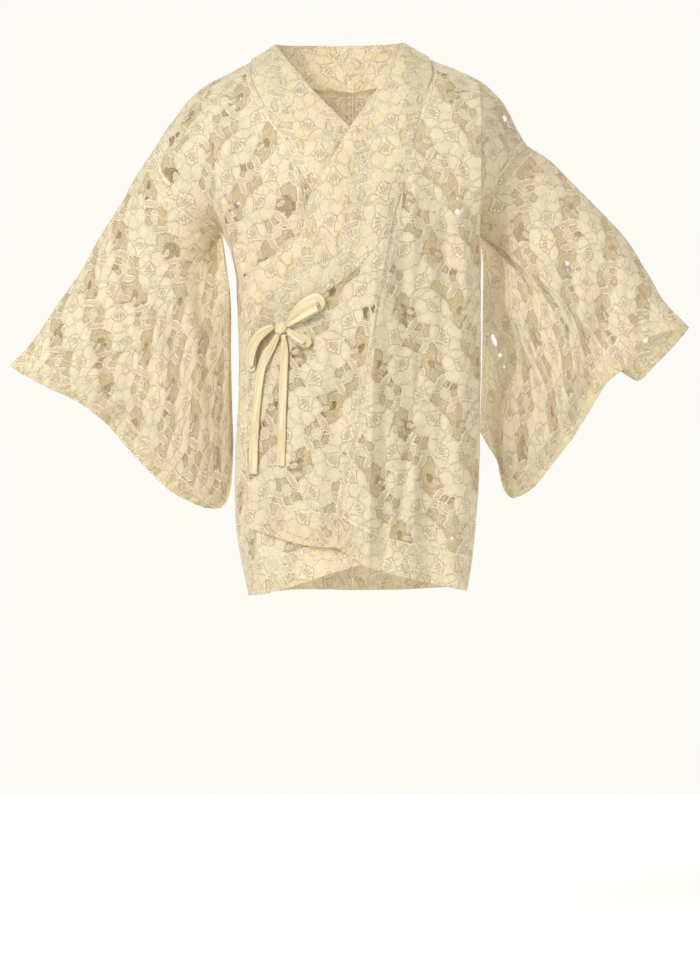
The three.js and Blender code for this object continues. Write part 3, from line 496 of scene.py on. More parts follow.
def body_surface(face, side):
    """A body panel: flat from its inner seam to its side line, and then round to the side."""
    front, over = face < 0, side > 0
    shoulder = SHOULDER_LEFT if over else SHOULDER_RIGHT
    first = front_inner(side, np.zeros(1), HALF_SEAM if front else 0)[0]
    ridge = rail([list(first)] + shoulder[2:4])
    cap = rail(shoulder[3:])
    if front:
        lift, step, flat_cols, top = OVER_LIFT * over, PLEAT_STEP, FLAT_COLS, ridge
        turn = rail(PLEAT_LEFT if over else PLEAT_RIGHT)
        hem = rail(HEM_FRONT_OVER if over else HEM_FRONT_UNDER[::-1])
        inner = lambda v: front_inner(side, v, HALF_SEAM)
    else:
        lift, step, flat_cols = 0, 0, NECK_COLS + FLAT_COLS
        neck = rail(NECKLINE_LEFT if over else NECKLINE_RIGHT)(np.arange(NECK_COLS) / NECK_COLS)
        line = np.concatenate([neck, ridge(np.arange(FLAT_COLS + 1) / FLAT_COLS)])
        at = np.arange(flat_cols + 1) / flat_cols
        top = lambda u: joined(*(np.interp(u, at, line[:, k]) for k in (0, 1)))
        turn = rail(BACK_SIDE_LEFT if over else BACK_SIDE_RIGHT)
        table = HEM_BACK_LEFT if over else HEM_BACK_RIGHT
        hem = rail(table)
        seam = CENTRE_BACK + side * HALF_SEAM
        inner = lambda v: joined(np.full(v.shape, seam), mix(line[0, 1], table[0][1], v))

    def flat_part(rows, u):
        xd = patch(top, hem, inner, turn, u, rows / ROWS)
        near = 0.5 * step * rise(u, *PLEAT_RISE)[None, :]
        points = place(face, xd[..., 0], xd[..., 1], lift + near)
        points[..., 1] = off_seam(face, points[..., 1])
        return points

    def cap_part(rows, share):
        outer = side_line(face, side, rows)[:, None]
        start = turn(rows / ROWS)[:, None]
        share = share[None, :]
        x = mix(start[..., 0], outer[..., 0], share)
        drop = mix(start[..., 1], -outer[..., 2], share)
        top_line = cap(share[0])[None]
        origin = side_line(face, side, np.zeros(1))[0]
        chord = mix(turn(np.zeros(1))[0], np.array([origin[0], -origin[2]]), share[..., None])
        fade = bounded(1 - rows)[:, None]
        x = x + (top_line[..., 0] - chord[..., 0]) * fade
        drop = drop + (top_line[..., 1] - chord[..., 1]) * fade
        below = bounded(rows - ARM_ROWS)[:, None]
        points = place(face, x, drop, lift - 0.5 * step)
        y = mix(points[..., 1], outer[..., 1], share ** mix(ARM_TURN, 1, below))
        points[..., 1] = off_seam(face, y)
        points[..., 0] += side * SIDE_BULGE * np.sin(np.pi * share) * below
        points[..., 0] += side * LACE_WALL * bounded(1 - CAP_COLS * share) * (step > 0)
        return points

    def surface(rows, cols):
        flat = flat_part(rows, cols[cols <= flat_cols] / flat_cols)
        if not front:
            beyond = cols[cols > flat_cols] - flat_cols
            return np.concatenate([flat, cap_part(rows, beyond / CAP_COLS)], axis=1)
        fold = cols[(cols > flat_cols) & (cols < flat_cols + 1)] - flat_cols
        edge = flat_part(rows, np.ones(1))
        lip = cap_part(rows, np.zeros(1))
        turned = mix(edge, lip, fold[None, :, None])
        rest = cap_part(rows, (cols[cols >= flat_cols + 1] - flat_cols - 1) / CAP_COLS)
        return np.concatenate([flat, turned, rest], axis=1)

    return surface, ROWS, flat_cols + CAP_COLS + (1 if front else 0)


def overlap_surface(side):
    """The overlap panel between a front panel and its leading edge, under the collar's end."""
    over = side > 0
    collar = COLLAR_SEAM_OVER[4:] if over else [FRONT_SEAM_UNDER[0]] + COLLAR_SEAM_UNDER[4:]
    line = rail(collar)
    count = ROWS - COLLAR_ROWS
    tuck = COLLAR_TUCK if over else -COLLAR_BESIDE
    seam = lambda v: front_inner(side, mix(COLLAR_ROWS, ROWS, v) / ROWS, -HALF_SEAM)

    def top(u):
        points = line(u)
        points[:, 1] -= tuck * ease(2 * u)
        near = bounded(1 - OVERLAP_COLS * u)[:, None]
        return points + (seam(np.zeros(1)) - line(np.zeros(1))) * near

    edge = LEADING_EDGE_OVER if over else LEADING_EDGE_UNDER
    end = rail([list(top(np.ones(1))[0])] + edge[1:])
    hem = rail(HEM_OVERLAP_OVER[::-1] if over else HEM_OVERLAP_UNDER)

    def surface(rows, cols):
        xd = patch(top, hem, seam, end, cols / OVERLAP_COLS, rows / count)
        return place(-1, xd[..., 0], xd[..., 1], OVER_LIFT * over)

    return surface, count, OVERLAP_COLS


def sleeve_surface(face, side):
    """One layer of a sleeve. Its first rows follow the armhole, and the rest hang free."""
    cut = SLEEVE_LEFT if side > 0 else SLEEVE_RIGHT
    front = face < 0
    hanging = rail(cut["freeFront"] if front else cut["freeBack"])
    cuff = rail(cut["cuffFront"] if front else cut["cuffBack"])
    bottom = rail(cut["bottomFront"] if front else cut["bottomBack"])
    upper = rail(cut["top"])
    armpit = -side_line(face, side, np.array([float(ARM_ROWS)]))[0, 2]
    sewn = LACE_WALL + HALF_SEAM
    top_clear, low_clear, arm_clear = FOLDS_CLEAR

    def start(v):
        rows = v * SLEEVE_ROWS
        arm = side_line(face, side, np.minimum(rows, ARM_ROWS))
        parting = side * (HALF_SEAM + LACE_WALL * (rows >= ARM_ROWS - 0.5))
        free = hanging(bounded((rows - ARM_ROWS) / (SLEEVE_ROWS - ARM_ROWS)))
        high = rows <= ARM_ROWS
        return joined(np.where(high, arm[:, 0] + parting, free[:, 0]),
                      np.where(high, -arm[:, 2], free[:, 1]))

    def surface(rows, cols):
        u, v = cols / SLEEVE_COLS, rows / SLEEVE_ROWS
        xd = patch(upper, bottom, start, cuff, u, v)
        x, drop = xd[..., 0], xd[..., 1]
        u, v, r = u[None, :], v[:, None], rows[:, None]
        closing = rise(v, *SHUT_DOWN) * rise(u, *SHUT_ACROSS)
        mouth = 1 - CUFF_FLATTER * rise(u, *FLATTER_ACROSS)
        least = mix(HALF_SEAM, sewn, bounded(r))
        half = np.maximum(SLEEVE_TRACK(v) * mouth * (1 - closing), least)
        middle = cut["swing"] * (drop - armpit) / SWING_DROP
        plain = ease(v / top_clear) * ease((1 - v) / low_clear) * ease((1 - u) / low_clear)
        flat = middle + face * half
        folds = SLEEVE_FOLDS + SLEEVE_CREASES
        hung = flat - fold_height(folds, x, drop) * plain
        arm = side_line(face, side, np.minimum(rows, ARM_ROWS))[:, 1][:, None]
        attached = mix(arm, flat, rise(r, ARM_ROWS, ARM_LEAVES))
        return joined(x, mix(attached, hung, ease(u / arm_clear)), -drop)

    return surface, SLEEVE_ROWS, SLEEVE_COLS


def collar_top(over, u, face):
    """The short line across the collar at the shoulder, where its front and back runs meet."""
    edge = (COLLAR_EDGE_OVER if over else COLLAR_EDGE_UNDER)[0]
    seam = (COLLAR_SEAM_OVER if over else COLLAR_SEAM_UNDER)[0]
    x, drop = mix(edge[0], seam[0], u), mix(edge[1], seam[1], u)
    return joined(x, np.full(u.shape, face * HALF_SEAM), COLLAR_STAND - drop)


def collar_front_surface(side):
    """A collar run from the shoulder line down its front."""
    over = side > 0
    free = rail(COLLAR_EDGE_OVER if over else COLLAR_EDGE_UNDER)
    seam = rail(COLLAR_SEAM_OVER if over else COLLAR_SEAM_UNDER)
    lift = COLLAR_LIFT + OVER_LIFT * over

    def surface(rows, cols):
        u, v = cols / COLLAR_COLS, rows / COLLAR_FRONT_ROWS
        xd = mix(free(v)[:, None], seam(v)[:, None], u[None, :, None])
        sunk = COLLAR_SUNK * rise(u, *SUNK_ACROSS)[None, :] * rise(v, *SUNK_DOWN)[:, None]
        points = place(-1, xd[..., 0], xd[..., 1], lift - sunk)
        points[..., 2] += COLLAR_STAND * bounded(1 - rows)[:, None]
        points[..., 1] = off_seam(-1, points[..., 1])
        return points

    return surface, COLLAR_FRONT_ROWS, COLLAR_COLS


def collar_back_surface():
    """The collar band round the back neck. Rows run from its standing edge to its seam."""
    edge = rail(COLLAR_EDGE_BACK)
    neck = rail(NECKLINE_RIGHT[::-1] + NECKLINE_LEFT[1:])

    def surface(rows, cols):
        u, v = rows / COLLAR_COLS, cols / COLLAR_BACK_COLS
        e, n = edge(v)[None], neck(v)[None]
        low = place(1, n[..., 0], n[..., 1] + COLLAR_STAND, NECK_LIFT)
        uu = u[:, None]
        bow = COLLAR_BOW * np.sin(np.pi * uu) * np.sin(np.pi * v[None])
        points = joined(
            mix(e[..., 0], low[..., 0], uu),
            mix(e[..., 1], low[..., 1], uu) + bow,
            mix(-e[..., 2], low[..., 2], uu) + COLLAR_STAND * (1 - uu),
        )
        for over, at_end in ((False, 1 - cols), (True, cols - COLLAR_BACK_COLS + 1)):
            share = bounded(at_end)[None, :, None]
            points = mix(points, collar_top(over, u, 1)[:, None], share)
        return points

    return surface, COLLAR_COLS, COLLAR_BACK_COLS


# The lace pattern, in millimetres on the flat cloth. Two flowers, one cluster of berries and
# seven leaves stand in each repeat, at these places from its middle. Columns: across, down
FLOWER_A = (-REPEAT_WIDE / 4, 0)
FLOWER_B = (0, REPEAT_HIGH / 2)
BERRIES = (REPEAT_WIDE / 2, REPEAT_HIGH / 2)
# The way each flower opens, in degrees, by the parity of its repeat
FLOWER_A_TURN = (128, 42)
FLOWER_B_TURN = (-28, 208)
# Leaves. Columns: across, down, turn in degrees, half length, half width
LEAVES = [
  (37, 24, -52, 12.5, 5.4), (28, 35, -12, 9, 4.2), (10, -25, 128, 12, 5.2), (17, -37, 168, 9, 4.2),
  (8, 13, 100, 8.5, 3.8), (36, -12, -70, 9, 4.0), (33, 5, 20, 5.5, 3.0),
]
# How deep and how close the waves of a leaf's outline are, how far apart its ribs lie, and the
# share of its length that its vein runs to
LEAF_WAVE = 0.08
LEAF_WAVES = 1.1
LEAF_RIBS = 3.2
VEIN_SHARE = 0.8
# Bars that join the motifs across the open ground. Columns: across and down at both ends
BARS = [
  (-22, 0, 0, -43), (0, 43, 45, 43), (45, 43, 30, 18), (0, -43, 14, -18), (45, 43, 67.5, 0),
  (0, -43, -22.5, 0), (0, 43, 22.5, 86),
]
BAR_HALF = 1.5
# A bar's outline ends this deep inside a petal
BAR_END = 0.3
# The share of the gap that is clear, how steeply its edge is cut, how far the net fills the rest
# of the ground, and its rim round every petal
GAP_SHOWN = 0.7
GAP_CLEAR = 0.8
NET_SPREAD = 2.6
RIM_OF_NET = 1.3
# A flower's petals, from its base. Columns: forward, sideways, radius
FAN_PETALS = [(29, -17, 12), (37, 0, 12.5), (29, 17, 12)]
FAN_SCALLOPS = 6
SCALLOP = 0.1
# The round heart behind them, and the rays across all: how far behind the flower's base they
# start, and how far apart they lie at which way out
HEART = 17
RAYS_FROM = 4
RAYS_OUT = 34
RAYS_APART = 3.1
# The two oval petals at its base: forward, sideways, half length, half width, turn in degrees
OVAL_PETAL = (9.5, 15, 14, 8.4, 54)
OVAL_BEND = 0.012
OVAL_RIBS = 3.4
# Its stamens: how they fan out in degrees, where they start, and how long the middle one is.
# Each is shorter by this much for every degree that it leans
STAMEN_TURNS = (-32, -16, 0, 16, 32)
STAMEN_FROM = 2
STAMEN_LONG = 23
STAMEN_SHORTER = 0.12
STAMEN_TIP = 1.7
# Where doubled cloth lies, its second layer's pattern is this far off the first
BACKING_SHIFT = (33, 51)
# There the second layer fills this much more of the ground, its stitching counts as this deep
# at most, and its cords look this much farther off
BACKING_FULLER = 1.2
BACKING_DEEP = 0.4
BACKING_THINNER = 1.4
# A flower's middle from its base
FLOWER_MIDDLE = 22
# The berries: the radius of each and of its heart, how far six of them lie from the middle one,
# and how far their ring is turned, in radians
BERRY_RADIUS = 3.3
BERRY_HEART = 1.3
BERRY_SPREAD = 6.4
BERRY_TURN = 0.3
# A way in mm that counts as nowhere near, and the largest ways that are kept
FAR = 50.0
CORD_REACH = 12
STITCH_REACH = 6


def site(s, t, offset):
    """Coordinates from the nearest place of a motif, and the parities of its repeat and row."""
    n = np.round((t - offset[1]) / REPEAT_HIGH - 0.5)
    odd = np.mod(n, 2)
    shift = odd * REPEAT_WIDE / 2 + offset[0]
    m = np.round((s - shift) / REPEAT_WIDE)
    x = s - shift - m * REPEAT_WIDE
    y = t - offset[1] - (n + 0.5) * REPEAT_HIGH
    return x, y, np.mod(m + n, 2), odd


def turned(x, y, degrees):
    """Coordinates along and across a direction given in degrees."""
    angle = np.radians(degrees)
    c, s = np.cos(angle), np.sin(angle)
    return x * c + y * s, -x * s + y * c


def oval(a, b, long, wide):
    """Depth inside an ellipse, in mm and below zero outside."""
    k = np.sqrt((a / long) ** 2 + (b / wide) ** 2) + 1e-6
    slope = np.sqrt((a / long ** 2) ** 2 + (b / wide ** 2) ** 2) + 1e-6
    return np.minimum((1 - k) * k / slope, wide)


def nearer(a, b):
    """Whichever of two signed ways is shorter."""
    return np.where(np.abs(a) < np.abs(b), a, b)


def lay(work, inside, rib, sign):
    """Lays a solid shape on the pattern. Its outline cord hides the cords under it. The sign
    differs between shapes that overlap, so that the way to a cord runs evenly through zero."""
    on = inside > 0
    work["cord"] = np.where(on, inside * sign, nearer(inside * sign, work["cord"]))
    work["rib"] = np.where(on, rib, work["rib"])
    for hidden in ("stamen", "tip"):
        work[hidden] = np.where(on, FAR, work[hidden])
    work["toile"] = np.maximum(work["toile"], inside)


def flower(work, x, y, turn):
    """Lays one flower: its heart, three scalloped petals, two oval ones and its stamens."""
    a, b = turned(x, y, turn)
    a = a + FLOWER_MIDDLE
    rays = np.arctan2(b, a + RAYS_FROM) * RAYS_OUT / RAYS_APART
    lay(work, oval(a - HEART, b, HEART, HEART), rays * 0, -1)
    for sign, (forward, sideways, radius) in zip((1, -1, 1), FAN_PETALS):
        da, db = a - forward, b - sideways
        scallop = 1 + SCALLOP * np.cos(FAN_SCALLOPS * np.arctan2(db, da))
        lay(work, radius * scallop - np.hypot(da, db), rays, sign)
    forward, sideways, long, wide, lean = OVAL_PETAL
    for side in (-1, 1):
        along, across = turned(a - forward, b - side * sideways, side * lean)
        bent = across + side * along * along * OVAL_BEND
        lay(work, oval(along, bent, long, wide), along / OVAL_RIBS, -1)
    for k, lean in enumerate(STAMEN_TURNS):
        along, across = turned(a - 1, b, lean)
        reach = STAMEN_LONG - abs(lean) * STAMEN_SHORTER
        past = np.maximum(along - reach, STAMEN_FROM - along)
        turn_about = 1 if k % 2 else -1
        line = np.where(across > 0, 1, -1) * np.maximum(np.abs(across), past) * turn_about
        tip = np.hypot(along - reach - STAMEN_TIP, across) - STAMEN_TIP
        work["stamen"] = nearer(work["stamen"], line)
        work["tip"] = np.minimum(work["tip"], tip)


def cluster(work, x, y):
    """Lays one berry and the ring of six round it."""
    turns = [k * math.pi / 3 + BERRY_TURN for k in range(6)]
    ring = [(BERRY_SPREAD * math.cos(k), BERRY_SPREAD * math.sin(k)) for k in turns]
    for cx, cy in [(0, 0)] + ring:
        r = np.hypot(x - cx, y - cy)
        lay(work, BERRY_RADIUS - r, np.zeros(x.shape), 1)
        work["tip"] = np.minimum(work["tip"], r - BERRY_HEART)


def lace(s, t, turn):
    """The pattern at flat places s across and t down. turn is 1 where s runs to the right.
    keep is above zero on cloth. cord is the way to the nearest raised outline, and toile the
    depth inside close stitching. rib counts the lines that fan out on a petal."""
    shape = s.shape
    work = {
        "cord": np.full(shape, FAR), "toile": np.full(shape, -FAR),
        "rib": np.zeros(shape), "stamen": np.full(shape, FAR), "tip": np.full(shape, FAR),
    }
    bars = np.full(shape, FAR)
    for x0, y0, x1, y1 in BARS:
        middle = ((x0 + x1) / 2, (y0 + y1) / 2)
        x, y, _, _ = site(s, t, middle)
        hx, hy = (x1 - x0) / 2, (y1 - y0) / 2
        run = np.clip((x * hx + y * hy) / (hx * hx + hy * hy), -1, 1)
        side = np.where(x * hy > y * hx, 1, -1)
        bars = nearer(bars, side * np.hypot(x - run * hx, y - run * hy))
    for across, down, lean, long, wide in LEAVES:
        x, y, _, _ = site(s, t, (across, down))
        a, b = turned(x, y, lean)
        wave = 1 + LEAF_WAVE * np.cos(a * LEAF_WAVES)
        lay(work, oval(a, b, long, wide * wave), (a + np.abs(b)) / LEAF_RIBS, 1)
        vein = np.where(b > 0, 1, -1) * np.hypot(a - np.clip(a, -long, long * VEIN_SHARE), b)
        work["stamen"] = nearer(work["stamen"], vein)
    x, y, _, _ = site(s, t, BERRIES)
    cluster(work, x, y)
    for spot, turns in ((FLOWER_B, FLOWER_B_TURN), (FLOWER_A, FLOWER_A_TURN)):
        x, y, odd, _ = site(s, t, spot)
        flower(work, x, y, np.where(odd > 0.5, turns[1], turns[0]))

    x, y, odd, _ = site(s, t, (REPEAT_WIDE / 4, 0))
    angle = np.where(odd > 0.5, GAP_TURNS[1], GAP_TURNS[0])
    along = x * np.sin(angle) * turn + y * np.cos(angle)
    across = x * np.cos(angle) * turn - y * np.sin(angle)
    gap = oval(along, across, GAP_LONG * GAP_SHOWN, GAP_SHORT * GAP_SHOWN)
    # The net fills the ground in uneven patches, whose waves in mm have no common measure
    patchy = 2.2 * np.sin(s / 17.3 + 1.1) + 2.0 * np.sin(t / 13.7 + 0.4 * np.sin(s / 29))
    net = patchy + 1.6 * np.sin((s + t) / 9.1) + NET_SPREAD
    ground = np.maximum(work["toile"] + RIM_OF_NET, BAR_HALF - np.abs(bars))
    keep = np.maximum(ground, np.minimum(net, -gap))
    keep = np.where((gap > 0) & (ground < BAR_HALF), np.minimum(keep, -gap * GAP_CLEAR), keep)
    outline = np.where(work["toile"] > BAR_END, work["cord"], nearer(work["cord"], bars))
    stamen = nearer(work["stamen"], np.maximum(work["tip"], 0))
    return {
        "keep": keep,
        "cord": np.clip(outline, -CORD_REACH, CORD_REACH),
        "stamen": np.clip(stamen, -CORD_REACH, CORD_REACH),
        "toile": np.clip(work["toile"], -STITCH_REACH, STITCH_REACH),
        "rib": work["rib"],
    }


def doubled_lace(s, t, turn, share):
    """The pattern with a second layer of it behind, where share is one."""
    front = lace(s, t, turn)
    if not np.any(share > 0.01):
        return front
    back = lace(s + BACKING_SHIFT[0], t + BACKING_SHIFT[1], turn)
    twice = share > 0.5
    both = np.maximum(front["keep"], back["keep"] + BACKING_FULLER)
    seen = twice & (front["toile"] < 0)
    dulled = np.maximum(front["toile"], np.minimum(back["toile"], BACKING_DEEP))
    thinned = nearer(front["cord"], back["cord"] * BACKING_THINNER)
    front["keep"] = np.where(twice, both, front["keep"])
    front["cord"] = np.where(seen, thinned, front["cord"])
    front["toile"] = np.where(seen, dulled, front["toile"])
    return front


def grid_normals(points, turn):
    """The direction out of every point of a grid, by the cross of its two ways."""
    down = np.gradient(points, axis=0)
    along = np.gradient(points, axis=1)
    return unit(np.cross(unit(down), unit(along))) * turn


def flat_measure(made, cut, fine_rows, fine_cols):
    """How far each point lies across and down the flat cloth, as the frame's solids measure it.
    An upright piece hangs with its threads level and plumb."""
    surface, rows, cols = made
    points = surface(np.arange(rows + 1.0), np.arange(cols + 1.0))
    column, upright = cut["column"], cut["upright"]
    level, plumb = ([0, 1], [1, 2]) if upright else ([0, 1, 2], [0, 1, 2])
    steps = step_lengths(points[..., level], axis=1)
    across = np.concatenate([np.zeros((rows + 1, 1)), np.cumsum(steps, axis=1)], axis=1)
    across = across - across[:, column:column + 1]
    steps = step_lengths(points[..., plumb])
    down = np.concatenate([np.zeros((1, cols + 1)), np.cumsum(steps, axis=0)])
    if upright:
        across = across + np.sign(points[0, -1, 0] - points[0, 0, 0]) * points[:, column, 0][:, None]
        down = down - points[:1, :, 2]
    else:
        down = np.repeat(down[:, column:column + 1], cols + 1, axis=1)
    return [between(way, fine_rows, fine_cols) for way in (across, down)]


def between(values, fine_rows, fine_cols):
    """The values of a coarse grid at fine places of it."""
    rows, cols = values.shape
    half = np.stack([np.interp(fine_cols, np.arange(cols), line) for line in values])
    i = np.clip(np.floor(fine_rows).astype(int), 0, rows - 2)
    return mix(half[i], half[i + 1], (fine_rows - i)[:, None])


# The corners of a mesh square, in turn round it
CORNERS = ((0, 0), (1, 0), (1, 1), (0, 1))
# A cut keeps this far from both ends of a square's side, as shares of it
CUT_WITHIN = (0.1, 0.9)


def cut_squares(keep, values, turn):
    """Cuts a grid along the line where keep is zero. values hold a row of numbers a point.
    Returns the values of the points kept, and the faces as lists by their number of corners."""
    rows, cols = keep.shape
    flat = keep.ravel()
    index = np.arange(rows * cols).reshape(rows, cols)
    on = keep > 0

    def crossing(a, b):
        ka, kb = flat[a], flat[b]
        share = np.clip(ka / np.where(np.abs(ka - kb) < 1e-9, 1, ka - kb), *CUT_WITHIN)
        return mix(values[a], values[b], share[:, None])

    first_a, first_b = index[:, :-1].ravel(), index[:, 1:].ravel()
    second_a, second_b = index[:-1].ravel(), index[1:].ravel()
    points = np.concatenate([values, crossing(first_a, first_b), crossing(second_a, second_b)])
    across_id = rows * cols + np.arange(rows * (cols - 1)).reshape(rows, cols - 1)
    down_id = rows * cols + across_id.size + np.arange((rows - 1) * cols).reshape(rows - 1, cols)
    corner_ids = [index[i:rows - 1 + i, j:cols - 1 + j].ravel() for i, j in CORNERS]
    corner_on = [on[i:rows - 1 + i, j:cols - 1 + j].ravel() for i, j in CORNERS]
    side_ids = [down_id[:, :-1].ravel(), across_id[1:].ravel(), down_id[:, 1:].ravel(),
                across_id[:-1].ravel()]
    case = sum((corner_on[k] * (1 << k)) for k in range(4))
    faces = []
    for code in range(1, 16):
        chosen = np.flatnonzero(case == code)
        if not len(chosen):
            continue
        ring = []
        for k in range(4):
            here, after = code >> k & 1, code >> ((k + 1) % 4) & 1
            if here:
                ring.append(corner_ids[k][chosen])
            if here != after:
                ring.append(side_ids[k][chosen])
        faces.append(np.stack(ring if turn > 0 else ring[::-1], axis=1))
    return points, faces


def largest_island(count, faces):
    """Keeps the faces of the largest joined piece."""
    a = np.concatenate([f[:, k] for f in faces for k in range(f.shape[1])])
    b = np.concatenate([np.roll(f, -1, axis=1)[:, k] for f in faces for k in range(f.shape[1])])
    label = np.arange(count)
    while True:
        low = np.minimum(label[a], label[b])
        new = label.copy()
        np.minimum.at(new, a, low)
        np.minimum.at(new, b, low)
        new = new[new]
        if np.array_equal(new, label):
            break
        label = new
    used = np.zeros(count, bool)
    used[a] = True
    names, sizes = np.unique(label[used], return_counts=True)
    main = names[np.argmax(sizes)]
    return [f[label[f[:, 0]] == main] for f in faces]


def build_mesh(name, points, faces, uvs=None, fields=None):
    """A mesh object from points in mm and faces in groups of like corner counts."""
    used = np.zeros(len(points), bool)
    for f in faces:
        used[f.ravel()] = True
    number = np.cumsum(used) - 1
    faces = [number[f] for f in faces if len(f)]
    totals = np.concatenate([np.full(len(f), f.shape[1]) for f in faces])
    corners = np.concatenate([f.ravel() for f in faces])
    mesh = bpy.data.meshes.new(name)
    mesh.vertices.add(int(used.sum()))
    mesh.vertices.foreach_set("co", (points[used] * MM).astype(np.float32).ravel())
    mesh.loops.add(len(corners))
    mesh.loops.foreach_set("vertex_index", corners.astype(np.int32))
    mesh.polygons.add(len(totals))
    starts = np.concatenate([[0], np.cumsum(totals)[:-1]])
    mesh.polygons.foreach_set("loop_start", starts.astype(np.int32))
    mesh.update(calc_edges=True)
    mesh.validate()
    mesh.polygons.foreach_set("use_smooth", np.ones(len(mesh.polygons), bool))
    if uvs is not None:
        layer = mesh.uv_layers.new(name="cloth")
        loops = np.zeros(len(mesh.loops), np.int32)
        mesh.loops.foreach_get("vertex_index", loops)
        layer.data.foreach_set("uv", uvs[used][loops].astype(np.float32).ravel())
    for key, value in (fields or {}).items():
        attribute = mesh.attributes.new(key, "FLOAT", "POINT")
        attribute.data.foreach_set("value", value[used].astype(np.float32))
    piece = bpy.data.objects.new(name, mesh)
    bpy.context.scene.collection.objects.link(piece)
    return piece


# How far the close stitching swells out of the net, and over what way in from its outline.
# Then the same for the cord round it
SWELL = 0.9
SWELL_WAY = 3.5
CORD_SWELL = 0.4
CORD_WAY = 1.1
# The fields that the lace's material reads, in the order of the columns after x, y, z, s and t
FIELDS = ("cord", "stamen", "toile", "rib", "doubled")
# The cloth's flat coordinates count in this many mm
UV_UNIT = 100
# The hemming stitches lie this far in from a band's inner edge, in a row of this half width
HEM_STITCH = 1.2
HEM_STITCH_HALF = 1.4


# Colours of the cloth in daylight. The shade colours are painted shade, the cord's cream is a
# painted highlight, and the net's cream is darkened by painted shade of the coat's inside seen
# through it
CREAM_STITCH = "#ebdfbf"
CREAM_CORD_HIGHLIGHT = "#f8eed3"
CREAM_NET_AND_SHADE_BEHIND = "#dfcba2"
CREAM_SHADE = "#bea27a"
CREAM_DOUBLED = "#e9d9ae"
CREAM_RIBBON = "#e2d6b2"
RIBBON_SHADE = "#d1bf93"


def colour(code):
    """A linear colour from an sRGB hex code."""
    parts = [int(code[k:k + 2], 16) / 255 for k in (1, 3, 5)]
    return tuple(p / 12.92 if p <= 0.04045 else ((p + 0.055) / 1.055) ** 2.4 for p in parts) + (1.0,)


def add(tree, kind, settings=None, inputs=None):
    """Adds one node. Inputs hold plain values, or the sockets that feed them."""
    made = tree.nodes.new("ShaderNode" + kind)
    for key, value in (settings or {}).items():
        setattr(made, key, value)
    for key, value in (inputs or {}).items():
        if isinstance(value, bpy.types.NodeSocket):
            tree.links.new(value, made.inputs[key])
        else:
            made.inputs[key].default_value = value
    return made


def sums(tree, *ways):
    """Functions that each add one sum to a material, for the ways of working that are named."""
    def sum_by(way):
        return lambda a, b=0.0: add(tree, "Math", {"operation": way}, {0: a, 1: b}).outputs[0]

    return [sum_by(way) for way in ways]


def scaled(tree, value, times, plus):
    inputs = {0: value, 1: times, 2: plus}
    return add(tree, "Math", {"operation": "MULTIPLY_ADD"}, inputs).outputs[0]


def soft_step(tree, value, low, high):
    """From 0 at low to 1 at high, evenly eased."""
    settings = {"interpolation_type": "SMOOTHSTEP"}
    inputs = {"Value": value, "From Min": low, "From Max": high}
    return add(tree, "MapRange", settings, inputs).outputs["Result"]


def blend(tree, share, a, b, how="MIX"):
    settings = {"data_type": "RGBA", "blend_type": how}
    return add(tree, "Mix", settings, {0: share, 6: a, 7: b}).outputs[2]


def noise(tree, vector, scale, detail):
    inputs = {"Vector": vector, "Scale": scale, "Detail": detail}
    return add(tree, "TexNoise", None, inputs).outputs["Fac"]


def field(tree, name):
    return add(tree, "Attribute", {"attribute_name": name}).outputs["Fac"]


def new_cloth(name, evenly):
    """An empty material with its shader, which has these even values, and the cloth's own flat
    coordinates."""
    made = bpy.data.materials.new(name)
    made.use_nodes = True
    tree = made.node_tree
    tree.nodes.clear()
    shader = add(tree, "BsdfPrincipled", None, evenly)
    tree.links.new(shader.outputs["BSDF"], add(tree, "OutputMaterial").inputs["Surface"])
    return made, tree, shader, add(tree, "UVMap", {"uv_map": "cloth"}).outputs["UV"]


def dress(tree, shader, tint, relief, strength, deep):
    """Gives a shader its colour and its relief, and returns the relief's own socket."""
    inputs = {"Height": relief, "Strength": strength, "Distance": deep}
    bump = add(tree, "Bump", None, inputs).outputs["Normal"]
    tree.links.new(tint, shader.inputs["Base Color"])
    tree.links.new(bump, shader.inputs["Normal"])
    return bump


# Corded raschel lace of cotton and nylon, knitted on a net and outlined with a soft thick cord.
# It gives cream petals in close stitching, raised outlines with a painted highlight, painted shade
# in the hollows beside them, and an open net darkened by painted shade of the coat's inside behind
# it.
# The real net has meshes of about 1 mm, drawn here at 2.2 mm so that they show.
# Each count is in 100 mm of cloth: the net's meshes, the stitches, and slow changes of tone
NET_MESHES = 45
STITCH_COURSES = 120
TONE_PATCHES = 1.6
# Thin cotton lets about this share of the light through, which brightens the coat's inside
LET_THROUGH = 0.22
# How far from its middle, in mm, a cord and a stamen's thread end
CORD_EDGE = (0.3, 1.1)
THREAD_EDGE = (0.3, 0.95)
# Where the stitching of a petal begins, in mm in from its outline
PETAL_EDGE = (-0.3, 0.7)
# Where an open mesh begins, from its thread to its middle
MESH_EDGE = (0.05, 0.22)
# How far each part stands out of the net, and how far an open mesh is sunk, as shares
PETAL_HIGH = 0.35
LINE_HIGH = 0.75
RIB_HIGH = 0.22
FIBRE_HIGH = 0.16
MESH_SUNK = 0.35
# How dark the painted shade is in the hollow outside a petal, beside a stamen, and where one petal
# lies over another
SHADE_OUTSIDE = 0.55
SHADE_BESIDE = 0.6
SHADE_OVERLAPPED = 0.3
# Where that painted shade lies. The first is deepest this far out of a petal, and each pair is where
# the shade is gone and where it is full, in mm
HOLLOW_OUT = 1.5
OUTSIDE_WAYS = (1.7, 0.5)
BESIDE_WAYS = (3.2, 1.6)
OVERLAP_WAYS = ((-3.2, -1.2), (-0.4, -1.2))
